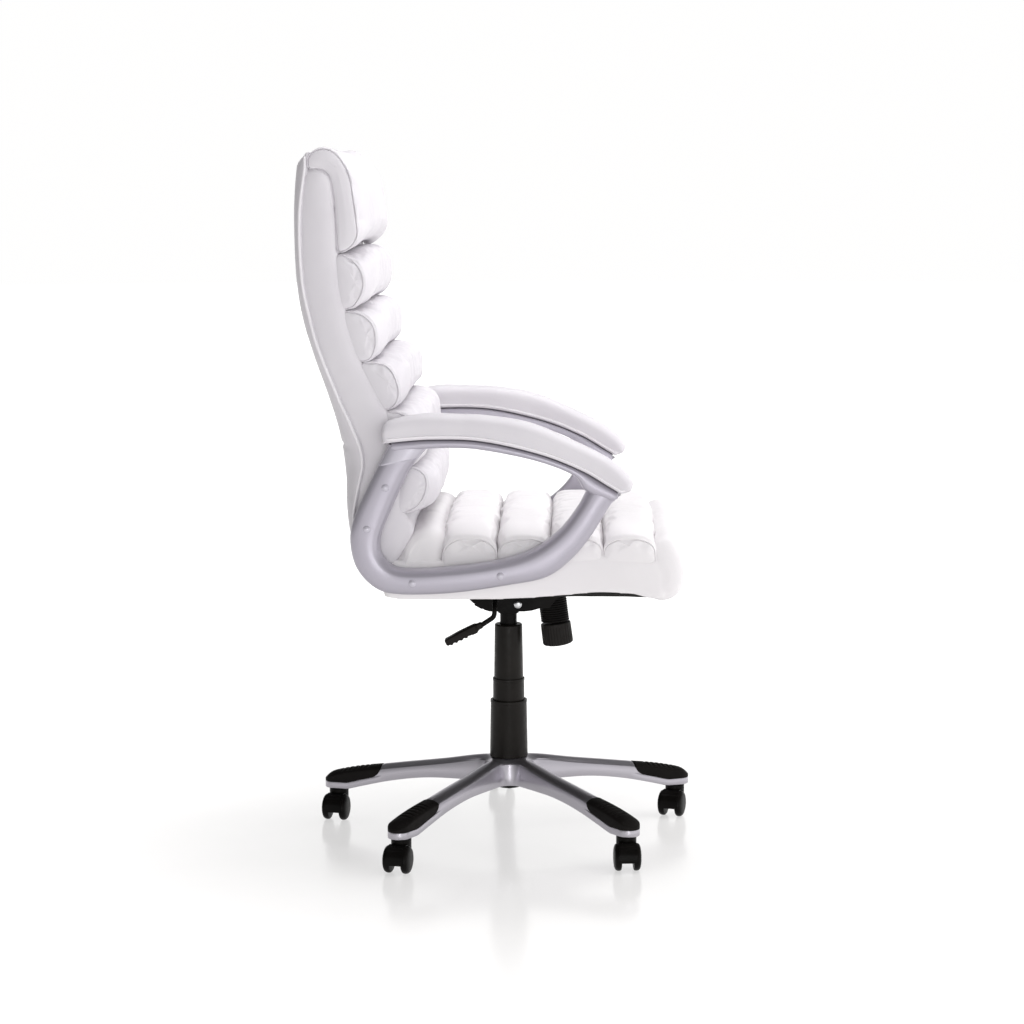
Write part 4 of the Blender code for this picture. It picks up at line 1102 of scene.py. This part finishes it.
def cushion_mesh(section, half, cap_bulge, stitched=True, pillow=0.0, middle=None):
    """Padded roll across the chair.

    section(x) gives the closed outline at x. A stitched end is a domed cap inside a sewn groove.
    A pillow end instead draws the outline in over the given length. Both close on the middle, a
    point inside the outline. Returns the mesh, the vertices of the end seams and the number of
    points in each ring.
    """
    even_part, even_steps = 0.92, 60
    inner = [even_part * half * (2 * k / even_steps - 1) for k in range(even_steps + 1)]
    ends = (0.945, 0.965, 0.980) if stitched else (0.945, 0.962, 0.975, 0.985, 0.992, 0.9965)
    places = [-half * e for e in reversed(ends)] + inner + [half * e for e in ends]

    def ring_at(x, x_place, inset, shrink):
        outline = [Vector(p) for p in section(x)]
        total = len(outline)
        around = sum(outline[i - 1].cross(outline[i]) for i in range(total))
        centre = Vector(middle) if middle else sum(outline, Vector((0.0, 0.0))) / total
        ring = []
        for i, p in enumerate(outline):
            along = outline[(i + 1) % total] - outline[i - 1]
            normal = Vector((-along.y, along.x)).normalized() * math.copysign(1.0, around)
            spot = p + normal * inset
            spot = centre + (spot - centre) * shrink
            ring.append(Vector((x_place, spot.x, spot.y)))
        return ring

    def narrowing(x):
        if not pillow:
            return 1.0
        share = max(0.0, (abs(x) - (half - pillow)) / pillow)
        return math.sqrt(max(1 - share**3.0, 0.0004))

    rings = [ring_at(x, x, 0.0, narrowing(x)) for x in places]
    if stitched:
        steps = ((0.0038, 0.0002, 1.0), (0.0022, 0.0006, 1.0), (0.0010, 0.0013, 1.0),
                 (0.0016, 0.0019, 1.0), (0.0036, 0.0023, 1.0), (0.0016, 0.0028, 1.0),
                 (0.0006, 0.0036, 1.0), (-0.0002, 0.0060, 1.0))
        shrinks = (0.86, 0.68, 0.48, 0.28, 0.10)
        steps += tuple((-0.0002, 0.0060, s) for s in shrinks)
        for x_sign in (-1.0, 1.0):
            cap = [ring_at(x_sign * half, x_sign * (half - depth), inset, shrink)
                   for depth, inset, shrink in steps]
            for ring in cap[-len(shrinks):]:
                for spot in ring:
                    spot.x = x_sign * (half + 0.0002 + cap_bulge * dome(spot, cap[0]))
            rings = cap[::-1] + rings if x_sign < 0 else rings + cap
    count = len(rings[0])
    held = []
    if stitched:
        for step in GROOVE_STEPS:
            for ring in (len(steps) - 1 - step, len(rings) - len(steps) + step):
                held += [ring * count + i for i in range(count)]
    return loft(rings, sharp=0.0), held, count


# Rolls default to the darker leather copy, which is painted shade for the back.
def add_cushion(name, mesh, held, swell, mat="leather"):
    obj = piece(name, mesh, MATS[mat], "seat")
    CUSHIONS.append((obj, held, swell))


def arch(start, end, foot, top, depth, square):
    """D-shaped outline between two creases, closed below the foot; square flattens its top."""
    middle, half = (start + end) / 2, abs(end - start) / 2 + 0.0004 + 0.0006 * square
    width_power, height_power = 0.86 - 0.30 * square, 0.74 - 0.36 * square
    points = []
    for k in range(ARCH_STEPS + 1):
        angle = math.pi * k / ARCH_STEPS
        points.append((middle + half * power(math.cos(angle), width_power),
                       foot + (top - foot) * power(math.sin(angle), height_power)))
    return points + [(y, foot - depth) for y in (middle - half, middle, middle + half)]


def quilt(x, y, seed, size=0.0012):
    """Small uneven swelling of a stuffed cover."""
    broad = noise.noise(Vector((x * 13.0, y * 13.0, seed)))
    fine = noise.noise(Vector((x * 38.0, y * 38.0, seed + 50.0)))
    return size * (broad + 0.35 * fine)


def sewn_foot(mesh, count, first):
    """Vertices of a roll's foot: in each ring of count points, those from first on, and point 0."""
    rings = len(mesh.vertices) // count
    return [ring * count + i for ring in range(rings) for i in (0, *range(first, count))]


def build_seat():
    spans = list(zip(SEAT_GAPS, SEAT_GAPS[1:]))
    for number, (rear, front) in enumerate(spans):
        seam = curve_value(SEAM_HEIGHT, (rear + front) / 2)

        def section(x, rear=rear, front=front, seam=seam, number=number):
            inside = 1 - abs(x / SEAT_HALF)**9
            top = SEAT_TOP + SEAT_CROWN * inside
            foot = seam - 0.0015 + 0.024 * inside
            return [(y + quilt(x, z, 60.0 + number, 0.0006),
                     z + quilt(x, y, float(number)) * ease(foot, top, z))
                    for y, z in arch(rear, front, foot, top, 0.014, inside)]

        mesh, held, count = cushion_mesh(section, SEAT_HALF - 0.0008, 0.0022)
        held += sewn_foot(mesh, count, ARCH_STEPS)
        add_cushion(f"seat_roll_{number + 2}", mesh, held, 0.0045, "seat_leather")

    def front_section(x):
        inside = 1 - abs(x / SEAT_HALF)**9
        result = []
        for p in smooth_path(FRONT_ROLL, 56, closed=True):
            rise = 0.0150 * inside * ease(0.495, 0.530, p.y)
            result.append((p.x + quilt(x, p.y, 11.0, 0.0008),
                           p.y + rise + quilt(x, p.x, 7.0, 0.0010)))
        return result

    front = cushion_mesh(front_section, SEAT_HALF + 0.0006, 0.0, False, 0.024,
                         (-0.2480, 0.4780))[0]

    def rear_section(x):
        inside = 1 - abs(x / SEAT_HALF)**6
        result = []
        for p in smooth_path(REAR_ROLL, 56, closed=True):
            high = ease(0.500, 0.563, p.y)
            result.append((p.x, p.y - 0.016 * (1 - inside) * high
                           + quilt(x, p.x, 9.0, 0.0016) * high))
        return result

    rear = cushion_mesh(rear_section, SEAT_HALF - 0.0006, 0.0, False, 0.034,
                        (0.1650, 0.4860))[0]
    held = [v.index for v in rear.vertices if v.co.z < REAR_ROLL_SEWN]
    add_cushion("seat_roll_1", rear, held, 0.004, "seat_leather")
    build_seat_band(front)
    build_seat_lining()


def seat_plan():
    """Plan outline of the seat, with the outward direction at each point."""
    corner = SEAT_CORNER
    rear_y, front_y, side_x = SEAT_REAR - corner, SEAT_FRONT + corner, SEAT_HALF - corner
    plan = []
    for centre_x, centre_y, start in ((side_x, rear_y, 0.0), (-side_x, rear_y, 90.0),
                                      (-side_x, front_y, 180.0), (side_x, front_y, 270.0)):
        for step in range(13):
            angle = math.radians(start + step * 90.0 / 12)
            plan.append(Vector((centre_x + corner * math.cos(angle),
                                centre_y + corner * math.sin(angle))))
    points = even_path(plan + plan[:1], 280, closed=True)
    result = []
    for i, p in enumerate(points):
        along = (points[(i + 1) % len(points)] - points[i - 1]).normalized()
        result.append((p, Vector((along.y, -along.x))))
    return result


def drawn_in(point, outward, inset):
    """Moves a plan point inward, past the corner's radius by drawing the whole plan together."""
    near = min(inset, SEAT_CORNER * 0.6)
    spot = point - outward * near
    middle = Vector((0.0, (SEAT_REAR + SEAT_FRONT) / 2))
    return middle + (spot - middle) * (1 - (inset - near) / SEAT_HALF)


def merged(meshes, size, passes):
    """One closed surface round all the meshes, with the folds between them softened."""
    bm = bmesh.new()
    for mesh in meshes:
        bm.from_mesh(mesh)
    obj = linked("scratch", stored(bm, "joined"))
    remesh = obj.modifiers.new("remesh", "REMESH")
    remesh.mode = "VOXEL"
    remesh.voxel_size = size
    smooth = obj.modifiers.new("smooth", "SMOOTH")
    smooth.factor = 0.5
    smooth.iterations = passes
    result = applied(obj)
    bpy.data.objects.remove(obj, do_unlink=True)
    return result


def build_seat_band(front):
    """Boxing below the rolls, merged with the roll over the seat's front edge."""
    rings = []
    levels = ((-1.0, 0.030), (-0.6, 0.014), (-0.30, 0.0080), (-0.10, 0.0050), (0.0, 0.0030),
              (0.04, 0.0016), (0.10, 0.0006), (0.22, -0.0002), (0.40, -0.0008), (0.60, -0.0008),
              (0.78, -0.0002), (0.90, 0.0008), (0.965, 0.0022), (0.99, 0.0040), (1.0, 0.0090))
    for level, inset in levels:
        ring = []
        for p, outward in seat_plan():
            low, high = curve_value(SEAT_EDGE, p.y), curve_value(SEAM_HEIGHT, p.y)
            ripple = quilt(p.x * 0.7, p.y * 0.7, 3.0, 0.0007) * (1 if level > 0 else 0)
            pucker = 0.0007 * math.sin(p.y * 430.0) * ease(0.80, 0.97, level)
            pucker *= 0.5 + 0.5 * math.sin(p.y * 61.0)
            spot = drawn_in(p, outward, inset + ripple + pucker)
            z = low + (high - low) * level if level >= 0 else low - 0.0030 * level
            ring.append((spot.x, spot.y, z))
        rings.append(ring)
    mesh = merged([loft(rings, sharp=0.0), front], size=0.0024, passes=6)
    obj = piece("seat_boxing", mesh, MATS["seat_leather"], "seat",
                ["seat_cushion"])


def build_seat_lining():
    """Cloth under the seat: flat over the board, lifted to the boxing's lower edge all round."""
    rings = []
    for inset, share in ((0.060, 0.0), (0.040, 0.0), (0.028, 0.15), (0.020, 0.5), (0.014, 0.8),
                         (0.0095, 1.0), (0.0090, 1.15), (0.0100, 1.3), (0.0400, 1.3)):
        ring = []
        for p, outward in seat_plan():
            edge = curve_value(SEAT_EDGE, p.y) + LINING_LAP
            sag = 0.0004 * noise.noise(Vector((p.x * 30.0, p.y * 30.0, 4.0)))
            spot = drawn_in(p, outward, inset)
            level = BOARD_UNDERSIDE + (edge - BOARD_UNDERSIDE) * min(share, 1.0)
            ring.append((spot.x, spot.y, level + sag + 0.0040 * max(share - 1.0, 0.0)))
        rings.append(ring)
    piece("seat_underside", loft(rings, sharp=0.0), MATS["lining"], "seat",
          ["seat_lining"])


def crease_rise(x):
    """The creases across the back climb a little towards the middle of the chair."""
    return 0.0080 * (1 - abs(x / SEAT_HALF)**3)


def squared(outline, inside, crown, seed, x):
    """Front outline of a back roll, fuller towards the middle of the chair."""
    low, high = outline[-1], outline[0]
    middle, reach = (low.y + high.y) / 2, (high.y - low.y) / 2
    nose = min(p.x for p in outline)
    result = []
    for p in outline:
        u = (p.y - middle) / reach
        crease = low.x + (high.x - low.x) * (u + 1) / 2
        depth = crease - nose
        full = max(1 - abs(u)**6, 0.0)**0.36
        ahead = max((crease - p.x) / depth, 0.0)
        ahead += max(full - ahead, 0.0) * inside * 0.85
        shift = (crown + quilt(x, p.y, seed)) * full * inside
        rise = crease_rise(x) * ease(0.590, 0.700, p.y)
        result.append((crease - ahead * depth - shift, middle + u * (reach + 0.0014) + rise))
    return result


def build_back():
    for number, front in enumerate(BACK_ROLLS):
        crown = 0.013 if number == len(BACK_ROLLS) - 1 else 0.010

        def section(x, front=front, crown=crown, number=number):
            inside = 1 - abs(x / SEAT_HALF)**8
            nose = smooth_path(front, NOSE_POINTS)
            low, high = nose[-1], nose[0]
            result = squared(nose, inside, crown, 20.0 + number, x)
            result += [(low.x + 0.014, low.y + 0.002), ((low.x + high.x) / 2 + 0.016,
                       (low.y + high.y) / 2), (high.x + 0.014, high.y - 0.002)]
            return result

        mesh, held, count = cushion_mesh(section, SEAT_HALF - 0.0030, 0.0034)
        held += sewn_foot(mesh, count, NOSE_POINTS - 1)
        add_cushion(f"back_roll_{number + 2}", mesh, held, 0.0045)

    def head_section(x):
        inside = 1 - abs(x / SEAT_HALF)**8
        result = []
        for p in smooth_path(HEADREST, 66, closed=True):
            ahead = 1 - ease(0.232, 0.258, p.x)
            low = 1 - ease(0.984, 1.004, p.y)
            shift = (0.0130 + quilt(x, p.y, 30.0, 0.0015)) * inside * ahead
            shift += 0.012 * inside * low * (1 - ahead)
            rise = crease_rise(x) * (1 - ease(0.990, 1.060, p.y))
            result.append((p.x - shift, p.y + rise))
        return result

    mesh, held, _ = cushion_mesh(head_section, SEAT_HALF - 0.0026, 0.0030,
                                 middle=HEADREST_MIDDLE)
    held += [v.index for v in mesh.vertices if abs(v.co.x) > SEAT_HALF - 0.0045]
    add_cushion("headrest_roll", mesh, held, 0.0045)
    build_back_core()
    build_rear_panel()


def build_back_core():
    """Boxed body of the back: its padded side walls run from the rolls to the rear piping."""
    rings = []
    steps = 110
    profile = ((0.000, 0.030), (0.000, 0.018), (0.006, 0.0095), (0.030, 0.0058), (0.080, 0.0030),
               (0.170, 0.0010), (0.300, 0.0000), (0.480, 0.0000), (0.640, 0.0008),
               (0.780, 0.0024), (0.880, 0.0042), (0.945, 0.0060), (0.980, 0.0078),
               (1.000, 0.0100), (1.000, 0.030))
    for step in range(steps + 1):
        z = BACK_BOTTOM + (BACK_TOP - BACK_BOTTOM) * step / steps
        front, rear = curve_value(PANEL_FRONT, z), curve_value(PIPING, z)
        top = ease(1.100, BACK_TOP, z)
        side = []
        for share, inset in profile:
            soft = quilt(share * 0.10, z, 5.0, 0.0009)
            side.append((BACK_HALF - inset - top**2 * 0.005 - soft,
                         front + (rear - front) * share))
        right = [(-x, y, z) for x, y in side]
        left = [(x, y, z) for x, y in reversed(side)]
        rings.append(right + left)
    # The back's side walls take the darker leather copy, which is painted shade.
    obj = piece("back_boxing", loft(rings, sharp=0.0), MATS["leather"], "seat",
                ["back_cushion"])

    for name, side in SIDES:
        path = []
        low, high, steps = 0.474, 1.116, 59
        for step in range(steps + 1):
            z = low + (high - low) * step / steps
            path.append((side * 0.2408, curve_value(PIPING, z) + 0.0010, z))
        path += [(side * 0.2395, 0.3062, 1.1290), (side * 0.2310, 0.3050, 1.1350),
                 (side * 0.2000, 0.3045, 1.1375), (side * 0.1000, 0.3045, 1.1380),
                 (0.0, 0.3045, 1.1380)]
        piece(f"back_piping_{name}", tube(smooth_path(path, 280), 0.0024, 10), MATS["piping"],
              "seat")


def build_rear_panel():
    """Padded panel that closes the back behind the piping, with a seam across its lower part."""
    half = PANEL_HALF
    across, inside = 72, 16
    heights = [BACK_BOTTOM + 0.0060 * k for k in range(111)] + [1.1335, 1.1360, 1.1378, 1.1388]
    rings = []
    for z in heights:
        front, rear = curve_value(PIPING, z), curve_value(PANEL_REAR, z)
        closing = math.sqrt(max(1 - ease(1.112, 1.1392, z)**2, 0.0))
        crease = 0.0028 * math.exp(-((z - PANEL_SEAM) / 0.0032)**2)
        ring = []
        for k in range(across + 1):
            x = -half * math.cos(math.pi * k / across)
            swell = (1 - abs(x / half)**4.5)**0.62
            puff = quilt(x * 0.6, z * 0.6, 8.0, 0.0014)
            depth = max((rear - front) * swell * closing - (crease - puff) * swell, 0.0)
            ring.append((x, front + 0.0016 + depth, z))
        for k in range(inside, -1, -1):
            ring.append((-half + 2 * half * k / inside, front - 0.004, z))
        rings.append(ring)
    # The rear panel takes the darker leather copy, which is painted shade.
    obj = piece("rear_cover", loft(rings, sharp=0.0), MATS["leather"], "seat",
                ["back_panel"])


def swell_cushions():
    """Cloth simulation: each roll's cover is slightly too large for its seams and swells."""
    scene = bpy.context.scene
    rests = {}
    for obj, held, _ in CUSHIONS:
        rests[obj.name] = [v.co.copy() for v in obj.data.vertices]
        group = obj.vertex_groups.new(name="sewn")
        group.add(sorted(set(held)), 1.0, "REPLACE")
        cloth = obj.modifiers.new("cover", "CLOTH")
        settings = cloth.settings
        settings.quality = 6
        settings.mass = 0.2
        settings.tension_stiffness = 12.0
        settings.compression_stiffness = 12.0
        settings.shear_stiffness = 6.0
        settings.bending_stiffness = 0.4
        settings.vertex_group_mass = "sewn"
        settings.use_pressure = True
        settings.uniform_pressure_force = 4.0
        settings.shrink_min = -0.035
        settings.effector_weights.gravity = 0.0
        cloth.collision_settings.use_collision = False
    for step in range(1, SWELL_FRAMES + 1):
        scene.frame_set(step)
    depsgraph = bpy.context.evaluated_depsgraph_get()
    for obj, _, reach in CUSHIONS:
        swollen = [v.co.copy() for v in obj.evaluated_get(depsgraph).data.vertices]
        obj.modifiers.remove(obj.modifiers["cover"])
        for vert, rest, moved in zip(obj.data.vertices, rests[obj.name], swollen):
            away = moved - rest
            if away.length > 1e-9:
                vert.co = rest + away * (reach * math.tanh(away.length / reach) / away.length)
    scene.frame_set(1)


def refine_cushions():
    for obj, *_ in CUSHIONS:
        smooth = obj.modifiers.new("smooth", "SUBSURF")
        smooth.levels = 1
        smooth.render_levels = 1


# ---------------------------------------------------------------- stage


BACKDROP_RADIUS = 23.0
FLOOR_RADIUS = 24.0
CAMERA_PLACE = Vector((-4.1107, -0.1033, 1.0951))
CAMERA_YAW, CAMERA_PITCH, CAMERA_ROLL = math.radians(1.35), math.radians(7.58), math.radians(-0.17)
CAMERA_LENS, CAMERA_SENSOR = 87.6, 36.0


def build_stage():
    bm = bmesh.new()
    bmesh.ops.create_circle(bm, cap_ends=True, segments=96, radius=FLOOR_RADIUS)
    floor = linked("floor", stored(bm, "floor"))
    look = Look("studio_floor", 0.22, specular=0.70)
    look.set("Base Color", (0.300, 0.293, 0.290, 1.0))
    look.set("Emission Color", (1.0, 0.994, 0.990, 1.0))
    look.roughness(look.noise(3.0, 3.0), 0.12, 0.22)
    look.bump(look.noise(9.0, 2.0), 0.12, 0.004)
    tree = look.tree
    far = tree.nodes.new("ShaderNodeVectorMath")
    far.operation = "LENGTH"
    tree.links.new(look.coords, far.inputs[0])
    fade = tree.nodes.new("ShaderNodeMapRange")
    fade.interpolation_type = "SMOOTHSTEP"
    fade.inputs["From Min"].default_value = 0.25
    fade.inputs["From Max"].default_value = 1.4
    fade.inputs["To Min"].default_value = 0.575
    fade.inputs["To Max"].default_value = 0.90
    tree.links.new(far.outputs["Value"], fade.inputs["Value"])
    tree.links.new(fade.outputs["Result"], look.shader.inputs["Emission Strength"])
    floor.data.materials.append(look.material)


def build_backdrop():
    """White shell far round the floor, there for the camera only."""
    bm = bmesh.new()
    bmesh.ops.create_uvsphere(bm, u_segments=64, v_segments=32, radius=BACKDROP_RADIUS)
    shell = linked("backdrop", stored(bm, "backdrop"))
    shell.visible_diffuse = False
    shell.visible_glossy = False
    shell.visible_transmission = False
    shell.visible_shadow = False
    look = Look("backdrop_paper", 1.0, specular=0.0)
    look.set("Base Color", (0.0, 0.0, 0.0, 1.0))
    look.set("Emission Color", (1.0, 0.997, 0.995, 1.0))
    look.set("Emission Strength", 1.0)
    look.material.cycles.emission_sampling = "NONE"
    shell.data.materials.append(look.material)


def build_world():
    """White round the horizon, much dimmer overhead, and dimmer on the side behind the chair."""
    world = bpy.data.worlds.new("studio")
    bpy.context.scene.world = world
    world.use_nodes = True
    tree = world.node_tree
    coords = tree.nodes.new("ShaderNodeTexCoord")
    split = tree.nodes.new("ShaderNodeSeparateXYZ")
    tree.links.new(coords.outputs["Generated"], split.inputs["Vector"])

    def ramp_on(socket, stops):
        span = tree.nodes.new("ShaderNodeMapRange")
        span.inputs["From Min"].default_value = -1.0
        tree.links.new(socket, span.inputs["Value"])
        ramp = tree.nodes.new("ShaderNodeValToRGB")
        ramp.color_ramp.elements[0].position = stops[0][0]
        ramp.color_ramp.elements[1].position = stops[-1][0]
        for position, value in stops[1:-1]:
            ramp.color_ramp.elements.new(position)
        for element, (position, value) in zip(ramp.color_ramp.elements, stops):
            element.color = (value, value, value, 1.0)
        tree.links.new(span.outputs["Result"], ramp.inputs["Fac"])
        return ramp.outputs["Color"]

    height = ramp_on(split.outputs["Z"], ((0.0, 1.0), (0.60, 1.0), (0.715, 0.22), (1.0, 0.14)))
    facing = ramp_on(split.outputs["Y"], ((0.0, 1.0), (0.625, 1.0), (0.72, 0.50), (1.0, 0.16)))
    product = tree.nodes.new("ShaderNodeVectorMath")
    product.operation = "MULTIPLY"
    tree.links.new(height, product.inputs[0])
    tree.links.new(facing, product.inputs[1])
    tree.links.new(product.outputs["Vector"], tree.nodes["Background"].inputs["Color"])


def add_softbox(name, place, target, size, energy):
    data = bpy.data.lights.new(name, "AREA")
    data.shape = "RECTANGLE"
    data.size, data.size_y = size
    data.energy = energy
    light = linked(name, data)
    light.location = place
    light.rotation_euler = (Vector(target) - Vector(place)).to_track_quat("-Z", "Y").to_euler()
    light.visible_glossy = False
    return light


def build_lights():
    build_world()
    add_softbox("top_softbox", (0.3, -0.5, 3.4), (0.0, 0.0, 0.5), (2.6, 2.6), 100.0)
    add_softbox("front_softbox", (0.2, -3.2, 1.7), (0.0, 0.0, 0.7), (2.4, 2.2), 55.0)
    add_softbox("side_softbox", (-2.6, -2.6, 1.5), (0.0, 0.0, 0.6), (1.8, 1.8), 10.0)
    add_softbox("fill_softbox", (-4.0, -0.5, 1.1), (0.0, 0.0, 0.4), (2.2, 1.6), 33.0)
    strip = add_softbox("strip", (-4.2, -0.40, 0.62), (0.0, 0.0, 0.2), (0.55, 1.1), 11.0)
    strip.visible_glossy = True
    bpy.context.scene.view_settings.view_transform = "Standard"


def build_camera():
    data = bpy.data.cameras.new("camera")
    data.sensor_width = CAMERA_SENSOR
    data.lens = CAMERA_LENS
    camera = linked("camera", data)
    camera.location = ORIGIN + CAMERA_PLACE
    heading = Matrix.Rotation(CAMERA_YAW - math.pi / 2, 4, "Z")
    tilt = Matrix.Rotation(math.pi / 2 - CAMERA_PITCH, 4, "X")
    camera.rotation_euler = (heading @ tilt @ Matrix.Rotation(CAMERA_ROLL, 4, "Z")).to_euler()
    bpy.context.scene.camera = camera


# ---------------------------------------------------------------- assembly

build_camera()
build_lights()
build_stage()
build_backdrop()
dress_kept_nodes()
build_base()
build_casters()
build_lift()
build_tray()
build_seat_plate()
build_tension()
build_lever()
build_arms()
build_seat()
build_back()
swell_cushions()
refine_cushions()
